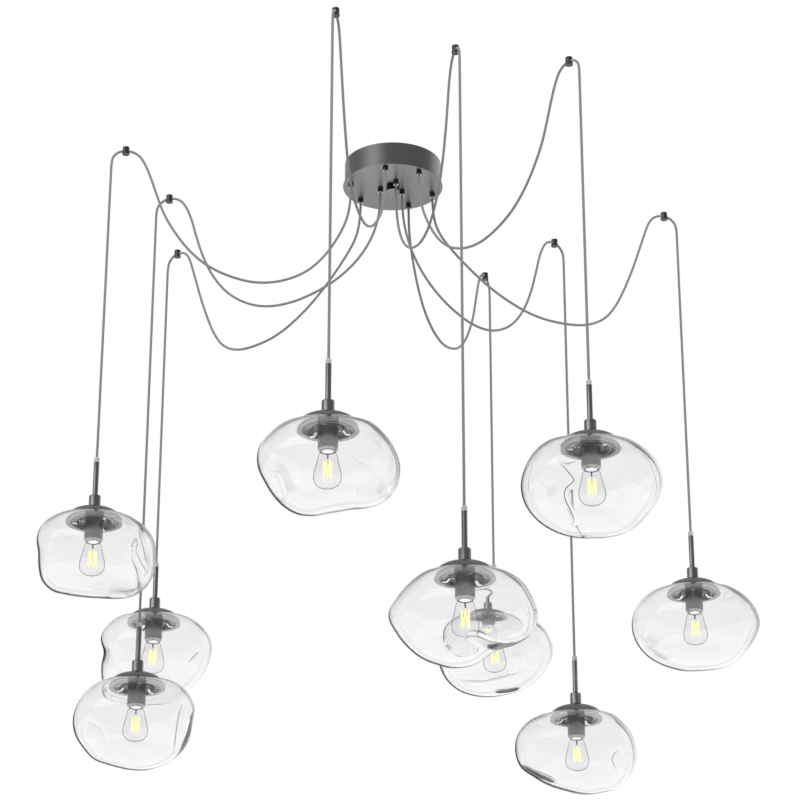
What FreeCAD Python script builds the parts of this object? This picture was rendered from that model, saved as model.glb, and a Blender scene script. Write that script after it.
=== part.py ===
import FreeCAD, Part
import math
import os

# Cluster pendant: nine blown-glass pendants on cords that swag from one round canopy
# through ceiling hooks. Millimetres. The origin is the centre of the canopy's ceiling
# face, the ceiling is the plane z = 0, and everything hangs below it.

V = FreeCAD.Vector
UP = V(0, 0, 1)
ORIGIN = V(0, 0, 0)

# ---- Layout: three clusters of three pendants, 120 degrees apart ------------------------
CLUSTERS = 3
PLACES = 3
FIRST_AZIMUTH = 20.3            # degrees, counterclockwise from +X seen from above
AZIMUTH_STEP = 23.85            # between the pendants of one cluster
HOOK_RADIUS = [767.0, 609.0, 681.0]     # canopy axis to hook axis, for each place
GRIP_RADIUS = [108.0, 33.0, 108.0]      # canopy axis to cord grip axis, for each place
FERRULE_DEPTH = [897.0, 1172.0, 848.0]  # ceiling to the top of the ferrule, for each place
DROP_OFFSET = 35.2              # hook axis to the hanging cord, outwards
PIVOT_DEPTH = 62.0              # ceiling to the point about which the drop cord swings

# ---- Cord ---------------------------------------------------------------------------
CORD_DIAMETER = 6.3
CORD_IN_HOOK_DEPTH = 10.0       # ceiling to the cord's centre line in the hook
CORD_IN_FITTING = 8.0           # length of cord held inside a grip or a ferrule
BODY_GAP = 0.6                  # between the swag's end and the drop cord's start
ARC_SHARE = 0.45                # of the shorter run, used by the arc on either side of a corner

# ---- Canopy -------------------------------------------------------------------------
CANOPY_DIAMETER = 254.0
CANOPY_HEIGHT = 64.0
CANOPY_WALL = 1.5
CANOPY_LIP = 4.0                # how far the bottom disc stands out beyond the wall
CANOPY_LIP_HEIGHT = 3.0
EDGE_ROUND = 0.8

STRAP_LENGTH = 140.0
STRAP_WIDTH = 28.0
STRAP_THICKNESS = 2.5
STRAP_SLOT_SPACING = 89.0       # centre to centre, for a round ceiling box
STRAP_SLOT_LENGTH = 20.0
STRAP_SLOT_WIDTH = 5.0
NIPPLE_DIAMETER = 10.0
NIPPLE_CLEARANCE = 0.2
LOCKNUT_FLATS = 16.0
LOCKNUT_THICKNESS = 4.0
KNOB_DIAMETER = 35.0
KNOB_HEIGHT = 12.4
KNOB_THREAD_DEPTH = 8.0
EARTH_SCREW_DIAMETER = 4.0
EARTH_SCREW_LENGTH = 8.0
EARTH_SCREW_OFFSET = 22.0       # canopy axis to screw axis, along the strap
SCREW_HEAD_RATIO = 1.9          # head diameter over shank diameter
SCREW_HEAD_HEIGHT = 2.4

GRIP_DIAMETER = 14.4
GRIP_HEIGHT = 10.0
GRIP_NECK_DIAMETER = 10.0
GRIP_NECK_CLEARANCE = 0.2
GRIP_CHAMFER = 1.6
GRIP_NUT_FLATS = 14.0
CORD_CLEARANCE = 0.3            # round the cord, in a grip or a ferrule

CONNECTOR_COUNT = 3
CONNECTOR_DIAMETER = 13.0
CONNECTOR_TIP_DIAMETER = 7.0
CONNECTOR_LENGTH = 24.0
CONNECTOR_RADIUS = 70.0         # canopy axis to connector axis
CONNECTOR_AZIMUTH = 104.0       # the first one's, between two clusters

# ---- Ceiling hook -------------------------------------------------------------------
HOOK_DIAMETER = 17.0
HOOK_HEIGHT = 20.0
HOOK_LIP_DIAMETER = 19.0
HOOK_LIP_HEIGHT = 3.5
HOOK_ROOF = 5.0                 # solid metal above the cord slot
HOOK_SLOT_SIDE_CLEARANCE = 0.85     # on either side of the cord
HOOK_SLOT_BEND_ROOM = 3.4       # height that the bending cord needs beyond its own
HOOK_THREAD_DIAMETER = 5.0      # for a 6 mm stud that hangs from the ceiling
HOOK_THREAD_DEPTH = 6.5         # breaks into the rounded top of the slot

# ---- Pendant metalwork, depths measured down from the ferrule's top ---------------------
FERRULE_LENGTH = 12.0
FERRULE_DIAMETER = 13.4
STEM_DIAMETER = 13.0
STEM_BORE = 8.0
STEM_LENGTH = 86.0
COUPLING_DIAMETER = 28.0
COUPLING_HEIGHT = 33.5
COUPLING_ROUND = 2.5
CAP_DIAMETER = 137.0
CAP_DOME = 31.5
CAP_CROWN_DIAMETER = 30.0       # flat seat for the coupling on top of the dome
CAP_THICKNESS = 1.5
TUBE_NIPPLE_DIAMETER = 10.0
HUB_HOLE_CLEARANCE = 7.0        # between the hub's edge and the glass's hole
HUB_THICKNESS = 3.0
HUB_DROP = 26.0                 # from the cap's crown down to the hub's top
CAP_FLANGE_WIDTH = 11.0         # flat ring inside the cap's rim that bears on the glass
GASKET_WIDTH = 3.0              # rubber ring inside that flange
GASKET_HEIGHT = 2.4
CLIP_COUNT = 3
CLIP_WIDTH = 9.0
CLIP_THICKNESS = 0.8
CLIP_REACH = 9.0                # how far a clip reaches under the glass
CLIP_SETBACK = 0.5              # its bend, inside the edge of the glass's hole

# ---- Socket and lamp ----------------------------------------------------------------
CUP_DIAMETER = 44.0
CUP_LENGTH = 55.0
CUP_WALL = 1.5
CUP_CHAMFER = 5.0
CUP_MOUTH_CLEARANCE = 0.6       # between the lampholder's nose and the turned-in mouth
HOLDER_CLEARANCE = 0.2
HOLDER_RECESS = 2.0             # lampholder's face above the cup's mouth
LAMP_BASE_CLEARANCE = 0.4       # round the lamp's base, in the lampholder
HOLDER_BORE_DEPTH = 27.0
CONTACT_DIAMETER = 8.0
CONTACT_HEIGHT = 1.0
LAMP_BASE_DIAMETER = 26.0
LAMP_BASE_LENGTH = 25.5
LAMP_NECK_DIAMETER = 24.8
LAMP_DIAMETER = 60.3
LAMP_LENGTH = 84.0              # of the glass, from the cup's mouth down
LAMP_WALL = 1.0
LAMP_FLARE = (0.61, 0.055)      # shares of the half width and length, from the cup's mouth
LAMP_PROFILE = [(0.69, 0.13), (0.80, 0.32), (0.92, 0.50), (1.0, 0.70), (0.74, 0.925), (0.0, 1.0)]
LAMP_SHOULDER_TANGENT = (0.2, -1.0)
LAMP_MOUNT_DIAMETER = 5.0
LAMP_MOUNT_LENGTH = 22.0
FILAMENT_COUNT = 6
FILAMENT_DIAMETER = 2.0
FILAMENT_LENGTH = 38.0
FILAMENT_CIRCLE = 9.0
FILAMENT_PLATE_MARGIN = 2.0     # beyond the circle of the filaments' axes
FILAMENT_PLATE_THICKNESS = 1.2

# ---- Glass shade --------------------------------------------------------------------
SHADE_DIAMETER = 306.0
SHADE_HEIGHT = 188.0            # from the seat under the cap to the lowest point
SHADE_WALL = 3.5
SHADE_HOLE_DIAMETER = 84.0
SEAT_GAP = 0.3                  # between cap and glass
# The profile as shares of the half width and of the height below the seat
SHADE_PROFILE = [
    (0.62, 0.045), (0.83, 0.14), (0.955, 0.29), (1.0, 0.46), (0.955, 0.65),
    (0.81, 0.82), (0.56, 0.94), (0.27, 0.99),
]
SHADE_FOOT = 0.1                # half width of the closing spot, as a share
# For each shade: width and height against the nominal, then the depth and direction of a
# two-lobed and of a three-lobed unevenness round the glass
SHADE_FORMS = [
    (1.02, 0.99, 0.020, 100.0, 0.016, 40.0),
    (1.00, 0.96, 0.028, 20.0, 0.014, 95.0),
    (1.00, 0.97, 0.022, 150.0, 0.018, 10.0),
    (0.95, 0.90, 0.030, 70.0, 0.020, 60.0),
    (0.95, 1.04, 0.024, 35.0, 0.022, 25.0),
    (0.94, 0.97, 0.034, 120.0, 0.020, 80.0),
    (1.00, 0.97, 0.030, 5.0, 0.022, 55.0),
    (1.03, 1.00, 0.026, 175.0, 0.018, 0.0),
    (1.00, 1.03, 0.018, 60.0, 0.014, 110.0),
]
SHADE_SECTION_POINTS = 18

# ---- Swag routes, chosen by hand --------------------------------------------------------
# Distance from the canopy's axis and height, from the cord grip to where the cord begins
# to turn into its hook, for each place.
SWAG_ROUTE = [
    [(108, -112), (121, -166), (153, -207), (204, -256), (264, -304), (328, -341),
     (394, -366), (464, -373), (530, -368), (583, -342), (618, -296), (645, -240),
     (669, -182), (690.5, -121), (708.5, -69)],
    [(33, -112), (43, -168), (66, -221), (102, -268), (150, -307), (209, -337),
     (277, -357), (345, -357), (403, -334), (449, -297), (486, -245), (512, -188),
     (531, -129), (547, -72)],
    [(108, -114), (119, -170), (143, -223), (176, -276), (222, -322), (283, -350),
     (348, -358), (411, -344), (467, -319), (512, -281), (549, -234), (580, -182),
     (600, -127), (618, -75)],
]
# The turn through the hook, measured from the hook's axis: outwards and height
HOOK_TURN = [(-46, -36.5), (-31.5, -18.4), (-12.7, -CORD_IN_HOOK_DEPTH),
             (9.5, -CORD_IN_HOOK_DEPTH), (25.8, -19.9), (DROP_OFFSET, -36.2)]

# ---- Worked out -----------------------------------------------------------------------
HOOK_SLOT_WIDTH = CORD_DIAMETER + 2 * HOOK_SLOT_SIDE_CLEARANCE
HOOK_SLOT_HEIGHT = CORD_DIAMETER + HOOK_SLOT_BEND_ROOM
HOLDER_BORE = LAMP_BASE_DIAMETER + 2 * LAMP_BASE_CLEARANCE
CUP_MOUTH_DIAMETER = HOLDER_BORE + 4 * CUP_WALL + 2 * CUP_MOUTH_CLEARANCE
HUB_DIAMETER = SHADE_HOLE_DIAMETER - 2 * HUB_HOLE_CLEARANCE
GRIP_FACE = -(CANOPY_HEIGHT + GRIP_HEIGHT)
COUPLING_TOP = FERRULE_LENGTH + STEM_LENGTH
CROWN_DEPTH = COUPLING_TOP + COUPLING_HEIGHT
CAP_RIM_DEPTH = CROWN_DEPTH + CAP_DOME
HUB_DEPTH = CROWN_DEPTH + HUB_DROP
CUP_DEPTH = HUB_DEPTH + HUB_THICKNESS
MOUTH_DEPTH = CUP_DEPTH + CUP_LENGTH
SEAT_DEPTH = CAP_RIM_DEPTH + SEAT_GAP
SHADE_SEAT_RADIUS = CAP_DIAMETER / 2 + 1


# ---- Shape helpers ----------------------------------------------------------------------
def outline_wire(start, steps):
    """A closed outline in the XZ plane: a step of one point is a line, of two an arc."""
    def at(p):
        return V(p[0], 0, p[1])
    edges = []
    here = start
    for step in list(steps) + [start]:
        if isinstance(step[0], tuple):
            edges.append(Part.Arc(at(here), at(step[0]), at(step[1])).toShape())
            here = step[1]
        elif step != here:
            edges.append(Part.LineSegment(at(here), at(step)).toShape())
            here = step
    return Part.Wire(edges)


def turned(start, *steps):
    """The solid that an outline of (radius, height) points sweeps round the Z axis."""
    return Part.Face(outline_wire(start, steps)).revolve(ORIGIN, UP, 360)


def disc(radius, top, height):
    """A plain cylinder that reaches down from the height top."""
    return Part.makeCylinder(radius, height, V(0, 0, top - height))


def moved(shape, x=0.0, y=0.0, z=0.0, turn=0.0):
    """A copy turned about the Z axis and then shifted."""
    copy = shape.copy()
    copy.rotate(ORIGIN, UP, turn)
    copy.translate(V(x, y, z))
    return copy


def radial(shape, radius, azimuth, z=0.0):
    """A copy whose +X side faces outwards, at a radius and azimuth."""
    a = math.radians(azimuth)
    return moved(shape, radius * math.cos(a), radius * math.sin(a), z, azimuth)


def hexagon(flats, top, height):
    """A hexagonal bar of that size across its flats."""
    corner = flats / math.sqrt(3)
    points = [V(corner * math.cos(math.radians(60 * k)), corner * math.sin(math.radians(60 * k)),
                top - height) for k in range(7)]
    return Part.Face(Part.makePolygon(points)).extrude(V(0, 0, height))


def slotted(length, width, top, height):
    """A bar with round ends along X, for cutting a slot."""
    half = (length - width) / 2
    bar = Part.makeBox(2 * half, width, height, V(-half, -width / 2, top - height))
    for x in (-half, half):
        bar = bar.fuse(moved(disc(width / 2, top, height), x))
    return bar


def write(name, *solids):
    """Writes one node: its solids stay separate."""
    shape = solids[0] if len(solids) == 1 else Part.makeCompound(list(solids))
    shape.exportStep("parts/" + name + ".step")


# ---- Canopy and what is in it -------------------------------------------------------
def pendants():
    """Number, place in its cluster and azimuth of each of the nine pendants."""
    for cluster in range(CLUSTERS):
        for place in range(PLACES):
            azimuth = FIRST_AZIMUTH + 360.0 / CLUSTERS * cluster + AZIMUTH_STEP * place
            yield PLACES * cluster + place + 1, place, azimuth


def canopy():
    """A round pan, open to the ceiling, whose bottom disc stands out as a lip."""
    rim = CANOPY_DIAMETER / 2
    wall = rim - CANOPY_LIP
    bottom = -CANOPY_HEIGHT
    lip_top = bottom + CANOPY_LIP_HEIGHT
    soft = EDGE_ROUND * (1 - math.sqrt(0.5))
    pan = turned(
        (0, bottom), (rim - EDGE_ROUND, bottom),
        ((rim - soft, bottom + soft), (rim, bottom + EDGE_ROUND)),
        (rim, lip_top - EDGE_ROUND),
        ((rim - soft, lip_top - soft), (rim - EDGE_ROUND, lip_top)),
        (wall, lip_top), (wall, 0), (wall - CANOPY_WALL, 0),
        (wall - CANOPY_WALL, bottom + CANOPY_WALL), (0, bottom + CANOPY_WALL))
    pan = pan.cut(disc(NIPPLE_DIAMETER / 2 + NIPPLE_CLEARANCE, 0, CANOPY_HEIGHT + 1))
    hole = disc(GRIP_NECK_DIAMETER / 2 + GRIP_NECK_CLEARANCE, 0, CANOPY_HEIGHT + 1)
    for _, place, azimuth in pendants():
        pan = pan.cut(radial(hole, GRIP_RADIUS[place], azimuth))
    return pan


def mounting_strap():
    """The slotted bar on the ceiling box, its nipple with locknut, and the earth screw."""
    bar = Part.makeBox(STRAP_LENGTH, STRAP_WIDTH, STRAP_THICKNESS,
                       V(-STRAP_LENGTH / 2, -STRAP_WIDTH / 2, -STRAP_THICKNESS))
    slot = slotted(STRAP_SLOT_LENGTH, STRAP_SLOT_WIDTH, 1, STRAP_THICKNESS + 2)
    for side in (-1, 1):
        bar = bar.cut(moved(slot, side * STRAP_SLOT_SPACING / 2))
    bar = bar.cut(disc(NIPPLE_DIAMETER / 2, 1, STRAP_THICKNESS + 2))
    shank = EARTH_SCREW_DIAMETER / 2
    bar = bar.cut(moved(disc(shank, 1, STRAP_THICKNESS + 2), EARTH_SCREW_OFFSET))
    nipple = disc(NIPPLE_DIAMETER / 2, 0, CANOPY_HEIGHT + KNOB_THREAD_DEPTH)
    nut = hexagon(LOCKNUT_FLATS, -STRAP_THICKNESS, LOCKNUT_THICKNESS)
    nut = nut.cut(disc(NIPPLE_DIAMETER / 2, 0, STRAP_THICKNESS + LOCKNUT_THICKNESS + 1))
    screw = disc(shank, 0, EARTH_SCREW_LENGTH)
    head_top = -EARTH_SCREW_LENGTH
    screw = screw.fuse(disc(shank * SCREW_HEAD_RATIO, head_top, SCREW_HEAD_HEIGHT))
    return bar, nipple, nut, moved(screw, EARTH_SCREW_OFFSET)


def centre_knob():
    """The round nut that holds the canopy up against the ceiling."""
    radius = KNOB_DIAMETER / 2
    top = -CANOPY_HEIGHT
    bottom = top - KNOB_HEIGHT
    knob = turned((0, top), (radius, top), (radius, bottom + EDGE_ROUND),
                  (radius - EDGE_ROUND, bottom), (0, bottom))
    return knob.cut(disc(NIPPLE_DIAMETER / 2, top + 1, KNOB_THREAD_DEPTH + 1))


def cord_grip():
    """One grip with its neck through the canopy and its locknut, its bore for the cord."""
    radius = GRIP_DIAMETER / 2
    neck = GRIP_NECK_DIAMETER / 2
    bore = CORD_DIAMETER / 2 + CORD_CLEARANCE
    seat = -CANOPY_HEIGHT
    neck_top = seat + CANOPY_WALL + LOCKNUT_THICKNESS + 2
    body = turned(
        (bore, GRIP_FACE), (radius - GRIP_CHAMFER, GRIP_FACE),
        (radius, GRIP_FACE + GRIP_CHAMFER), (radius, seat), (neck, seat),
        (neck, neck_top), (bore, neck_top))
    nut = hexagon(GRIP_NUT_FLATS, seat + CANOPY_WALL + LOCKNUT_THICKNESS, LOCKNUT_THICKNESS)
    return body, nut.cut(disc(neck, 0, CANOPY_HEIGHT))


def wire_connector():
    """A tapered push-on connector that stands on the canopy's floor."""
    foot = -CANOPY_HEIGHT + CANOPY_WALL
    wide = CONNECTOR_DIAMETER / 2
    return turned((0, foot), (wide, foot), (wide, foot + CONNECTOR_LENGTH / 3),
                  (CONNECTOR_TIP_DIAMETER / 2, foot + CONNECTOR_LENGTH),
                  (0, foot + CONNECTOR_LENGTH))


# ---- Ceiling hook and cord --------------------------------------------------------------
def ceiling_hook():
    """A turned post with a wider lip, a threaded hole on top and a radial slot."""
    body = HOOK_DIAMETER / 2
    lip = HOOK_LIP_DIAMETER / 2
    lip_top = -HOOK_HEIGHT + HOOK_LIP_HEIGHT
    post = turned((0, 0), (body, 0), (body, lip_top + 1), (lip, lip_top),
                  (lip, -HOOK_HEIGHT + EDGE_ROUND), (lip - EDGE_ROUND, -HOOK_HEIGHT),
                  (0, -HOOK_HEIGHT))
    post = post.cut(disc(HOOK_THREAD_DIAMETER / 2, 0, HOOK_THREAD_DEPTH))
    slot = slotted(HOOK_SLOT_HEIGHT, HOOK_SLOT_WIDTH, HOOK_DIAMETER, 2 * HOOK_DIAMETER)
    slot.rotate(ORIGIN, V(0, 1, 0), 90)
    slot.translate(V(0, 0, -HOOK_ROOF - HOOK_SLOT_HEIGHT / 2))
    return post.cut(slot)


def cord_radii(points):
    """The radius of the arc at each corner of a route."""
    radii = []
    for before, corner, after in zip(points, points[1:], points[2:]):
        run = min(corner.distanceToPoint(before), after.distanceToPoint(corner))
        half_turn = (corner - before).getAngle(after - corner) / 2
        radii.append(ARC_SHARE * run / math.tan(half_turn))
    return radii


def cord_tube(points):
    """A round cord along straight runs joined by tangent arcs, and its path's length."""
    edges = []
    here = points[0]
    for before, corner, after, radius in zip(points, points[1:], points[2:], cord_radii(points)):
        inward = (before - corner).normalize()
        outward = (after - corner).normalize()
        half_turn = inward.negative().getAngle(outward) / 2
        reach = radius * math.tan(half_turn)
        start = corner + inward * reach
        end = corner + outward * reach
        sagitta = radius * (1 / math.cos(half_turn) - 1)
        middle = corner + (inward + outward).normalize() * sagitta
        edges.append(Part.LineSegment(here, start).toShape())
        edges.append(Part.Arc(start, middle, end).toShape())
        here = end
    edges.append(Part.LineSegment(here, points[-1]).toShape())
    path = Part.Wire(edges)
    ring = Part.Circle(points[0], points[1] - points[0], CORD_DIAMETER / 2)
    section = Part.Wire([ring.toShape()])
    tube = path.makePipeShell([section], True, True)
    return tube, path.Length


def swag_points(place, azimuth):
    """The route from inside the grip, through the hook, to the top of the hanging drop."""
    hook = HOOK_RADIUS[place]
    flat = [(GRIP_RADIUS[place], GRIP_FACE + CORD_IN_FITTING)]
    flat += SWAG_ROUTE[place]
    flat += [(hook + out, z) for out, z in HOOK_TURN]
    flat += [(hook + DROP_OFFSET, -PIVOT_DEPTH)]
    a = math.radians(azimuth)
    return [V(r * math.cos(a), r * math.sin(a), z) for r, z in flat]


def drop_cord(place):
    """The straight hanging stretch, on the Z axis at its real height."""
    top = -PIVOT_DEPTH - BODY_GAP
    foot = -FERRULE_DEPTH[place] - CORD_IN_FITTING
    return disc(CORD_DIAMETER / 2, top, top - foot)


# ---- Pendant, on the Z axis with the ferrule's top at z = 0 -----------------------------
def ferrule_and_stem():
    """The clear strain relief, the stem tube and the coupling with rounded shoulders."""
    bore = CORD_DIAMETER / 2 + CORD_CLEARANCE
    outer = FERRULE_DIAMETER / 2
    ferrule = turned((bore, 0), (outer - EDGE_ROUND, 0), (outer, -EDGE_ROUND),
                     (outer, -FERRULE_LENGTH), (bore, -FERRULE_LENGTH))
    stem = disc(STEM_DIAMETER / 2, -FERRULE_LENGTH, STEM_LENGTH)
    stem = stem.cut(disc(STEM_BORE / 2, 0, COUPLING_TOP + 1))
    wide = COUPLING_DIAMETER / 2
    soft = COUPLING_ROUND * (1 - math.sqrt(0.5))
    bore = STEM_BORE / 2
    coupling = turned(
        (bore, -COUPLING_TOP), (wide - COUPLING_ROUND, -COUPLING_TOP),
        ((wide - soft, -COUPLING_TOP - soft), (wide, -COUPLING_TOP - COUPLING_ROUND)),
        (wide, -CROWN_DEPTH), (bore, -CROWN_DEPTH))
    return ferrule, stem, coupling


def cap():
    """The domed cap: half an ellipse in section, flat where the coupling sits."""
    def dome_point(radius, height, share):
        crown = CAP_CROWN_DIAMETER / 2
        across = crown + (radius - crown) * math.sin(share * math.pi / 2)
        return across, -CAP_RIM_DEPTH + height * math.cos(share * math.pi / 2)
    rim = CAP_DIAMETER / 2
    inner = rim - CAP_THICKNESS
    inside = CAP_DOME - CAP_THICKNESS
    bore = TUBE_NIPPLE_DIAMETER / 2
    flange = rim - CAP_FLANGE_WIDTH
    flange_top = -CAP_RIM_DEPTH + CAP_THICKNESS
    return turned(
        (bore, -CROWN_DEPTH), dome_point(rim, CAP_DOME, 0),
        (dome_point(rim, CAP_DOME, 0.25), dome_point(rim, CAP_DOME, 0.5)),
        (dome_point(rim, CAP_DOME, 0.75), dome_point(rim, CAP_DOME, 1)),
        (flange, -CAP_RIM_DEPTH), (flange, flange_top), (inner, flange_top),
        (dome_point(inner, inside, 0.7), dome_point(inner, inside, 0.45)),
        (dome_point(inner, inside, 0.2), dome_point(inner, inside, 0)),
        (bore, -CROWN_DEPTH - CAP_THICKNESS))


def shade_fastening():
    """The nipple, hub disc, spring clips and gasket that hold the glass up in its cap."""
    hub_radius = HUB_DIAMETER / 2
    bore = TUBE_NIPPLE_DIAMETER / 2
    nipple = disc(bore, -CROWN_DEPTH, HUB_DEPTH + HUB_THICKNESS - CROWN_DEPTH)
    hub = disc(hub_radius, -HUB_DEPTH, HUB_THICKNESS).cut(disc(bore, 0, CUP_DEPTH + 1))
    foot = -HUB_DEPTH - HUB_THICKNESS
    lip = SHADE_HOLE_DIAMETER / 2
    bend = lip - CLIP_SETBACK
    under = -SEAT_DEPTH - SHADE_WALL - SEAT_GAP
    start = hub_radius - CLIP_REACH
    outline = Part.makePolygon([
        V(start, 0, foot), V(hub_radius, 0, foot), V(bend, 0, under),
        V(lip + CLIP_REACH, 0, under), V(lip + CLIP_REACH, 0, under - CLIP_THICKNESS),
        V(bend - CLIP_THICKNESS, 0, under - CLIP_THICKNESS),
        V(hub_radius, 0, foot - CLIP_THICKNESS), V(start, 0, foot - CLIP_THICKNESS),
        V(start, 0, foot)])
    clip = Part.Face(outline).extrude(V(0, CLIP_WIDTH, 0))
    clip.translate(V(0, -CLIP_WIDTH / 2, 0))
    clips = [moved(clip, turn=360.0 / CLIP_COUNT * k) for k in range(CLIP_COUNT)]
    ring = CAP_DIAMETER / 2 - CAP_FLANGE_WIDTH
    gasket_top = -SEAT_DEPTH + GASKET_HEIGHT
    gasket = disc(ring, gasket_top, GASKET_HEIGHT)
    gasket = gasket.cut(disc(ring - GASKET_WIDTH, gasket_top, GASKET_HEIGHT))
    return [nipple, hub, gasket] + clips


def socket():
    """The cup with its chamfered mouth, the lampholder in it and the centre contact."""
    outer = CUP_DIAMETER / 2
    mouth = CUP_MOUTH_DIAMETER / 2
    inner = outer - CUP_WALL
    cup = turned(
        (TUBE_NIPPLE_DIAMETER / 2, -CUP_DEPTH), (outer, -CUP_DEPTH),
        (outer, -MOUTH_DEPTH + CUP_CHAMFER), (mouth, -MOUTH_DEPTH),
        (mouth - CUP_WALL, -MOUTH_DEPTH), (inner, -MOUTH_DEPTH + CUP_CHAMFER + CUP_WALL),
        (inner, -CUP_DEPTH - CUP_WALL), (TUBE_NIPPLE_DIAMETER / 2, -CUP_DEPTH - CUP_WALL))
    top = -CUP_DEPTH - CUP_WALL
    face = -MOUTH_DEPTH + HOLDER_RECESS
    body = inner - HOLDER_CLEARANCE
    taper = -MOUTH_DEPTH + CUP_CHAMFER + CUP_WALL
    nose = HOLDER_BORE / 2 + CUP_WALL
    bore = HOLDER_BORE / 2
    bottom = face + HOLDER_BORE_DEPTH
    holder = turned((0, top), (body, top), (body, taper), (nose, taper), (nose, face),
                    (bore, face), (bore, bottom), (0, bottom))
    contact = disc(CONTACT_DIAMETER / 2, bottom, CONTACT_HEIGHT)
    return cup, holder, contact


def lamp_solid(shrink, top):
    """The lamp glass from its neck to its tip, filled in, drawn in by a wall or not."""
    def at(share):
        across, down = share
        return V(max(0, across * LAMP_DIAMETER / 2 - shrink), 0,
                 -min(down * LAMP_LENGTH, LAMP_LENGTH - shrink))
    neck = LAMP_NECK_DIAMETER / 2 - shrink
    points = [at(share) for share in LAMP_PROFILE]
    start = V(neck, 0, 0)
    flare = Part.Arc(start, at(LAMP_FLARE), points[0])
    side = Part.BSplineCurve()
    side.interpolate(points, InitialTangent=V(LAMP_SHOULDER_TANGENT[0], 0, LAMP_SHOULDER_TANGENT[1]),
                     FinalTangent=V(-1, 0, 0))
    edges = [Part.LineSegment(V(0, 0, top), V(neck, 0, top)).toShape(),
             Part.LineSegment(V(neck, 0, top), start).toShape(),
             flare.toShape(), side.toShape(),
             Part.LineSegment(points[-1], V(0, 0, top)).toShape()]
    return Part.Face(Part.Wire(edges)).revolve(ORIGIN, UP, 360)


def lamp_glass():
    """The pear-shaped envelope, a thin closed shell that starts at the screw base."""
    glass = lamp_solid(0.0, 2 * LAMP_WALL).cut(lamp_solid(LAMP_WALL, LAMP_WALL))
    return moved(glass, z=-MOUTH_DEPTH)


def lamp():
    """One lamp: screw base, glass, and the mount with its ring of filaments."""
    glass = lamp_glass()
    base_foot = -MOUTH_DEPTH + 2 * LAMP_WALL
    base = disc(LAMP_BASE_DIAMETER / 2, base_foot + LAMP_BASE_LENGTH, LAMP_BASE_LENGTH)
    plate = FILAMENT_CIRCLE + FILAMENT_PLATE_MARGIN
    plate_top = -MOUTH_DEPTH + LAMP_WALL - LAMP_MOUNT_LENGTH
    mount = disc(LAMP_MOUNT_DIAMETER / 2, -MOUTH_DEPTH + LAMP_WALL, LAMP_MOUNT_LENGTH)
    mount = mount.fuse(disc(plate, plate_top, FILAMENT_PLATE_THICKNESS))
    rods_top = plate_top - FILAMENT_PLATE_THICKNESS
    for k in range(FILAMENT_COUNT):
        rod = disc(FILAMENT_DIAMETER / 2, rods_top, FILAMENT_LENGTH)
        mount = mount.fuse(radial(rod, FILAMENT_CIRCLE, 360.0 / FILAMENT_COUNT * k))
    mount = mount.fuse(disc(plate, rods_top - FILAMENT_LENGTH, FILAMENT_PLATE_THICKNESS))
    return base, glass, mount.removeSplitter()


def uneven_ring(radius, depth, form):
    """A closed smooth section of the glass, lobed as the form says."""
    _, _, two, two_at, three, three_at = form
    points = []
    for k in range(SHADE_SECTION_POINTS):
        turn = 360.0 / SHADE_SECTION_POINTS * k
        share = (1 + two * math.cos(math.radians(2 * (turn - two_at)))
                 + three * math.cos(math.radians(3 * (turn - three_at))))
        a = math.radians(turn)
        points.append(V(radius * share * math.cos(a), radius * share * math.sin(a), -depth))
    ring = Part.BSplineCurve()
    ring.interpolate(points, PeriodicFlag=True)
    return Part.Wire([ring.toShape()])


def shade_rings(form, wall):
    """Sections of the blown form from its seat down, drawn in by the wall or not."""
    half = SHADE_DIAMETER / 2 * form[0]
    height = SHADE_HEIGHT * form[1]
    rings = [round_ring(SHADE_SEAT_RADIUS, SEAT_DEPTH + wall)]
    for across, down in SHADE_PROFILE:
        depth = SEAT_DEPTH + wall + (height - 2 * wall) * down
        rings.append(uneven_ring(half * across - wall, depth, form))
    rings.append(round_ring(half * SHADE_FOOT, SEAT_DEPTH + height - wall))
    return rings


def round_ring(radius, depth):
    """A section of the glass with no unevenness."""
    return uneven_ring(radius, depth, (1, 1, 0, 0, 0, 0))


def shade(form):
    """The glass as one closed shell: outer and inner form, and the lip round its hole."""
    outer = shade_rings(form, 0.0)
    inner = shade_rings(form, SHADE_WALL)
    brim = round_ring(SHADE_HOLE_DIAMETER / 2, SEAT_DEPTH)
    under = round_ring(SHADE_HOLE_DIAMETER / 2, SEAT_DEPTH + SHADE_WALL)
    faces = []
    for rings in (outer, inner):
        faces += Part.makeLoft(rings, False, False).Faces
        faces.append(Part.Face(rings[-1]))
    for upper, lower in ((outer[0], brim), (brim, under), (under, inner[0])):
        faces.append(Part.makeRuledSurface(upper.Edges[0], lower.Edges[0]))
    skin = Part.makeShell(faces)
    skin.sewShape()
    glass = Part.makeSolid(skin)
    if glass.Volume < 0:
        glass.reverse()
    return glass


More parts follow.
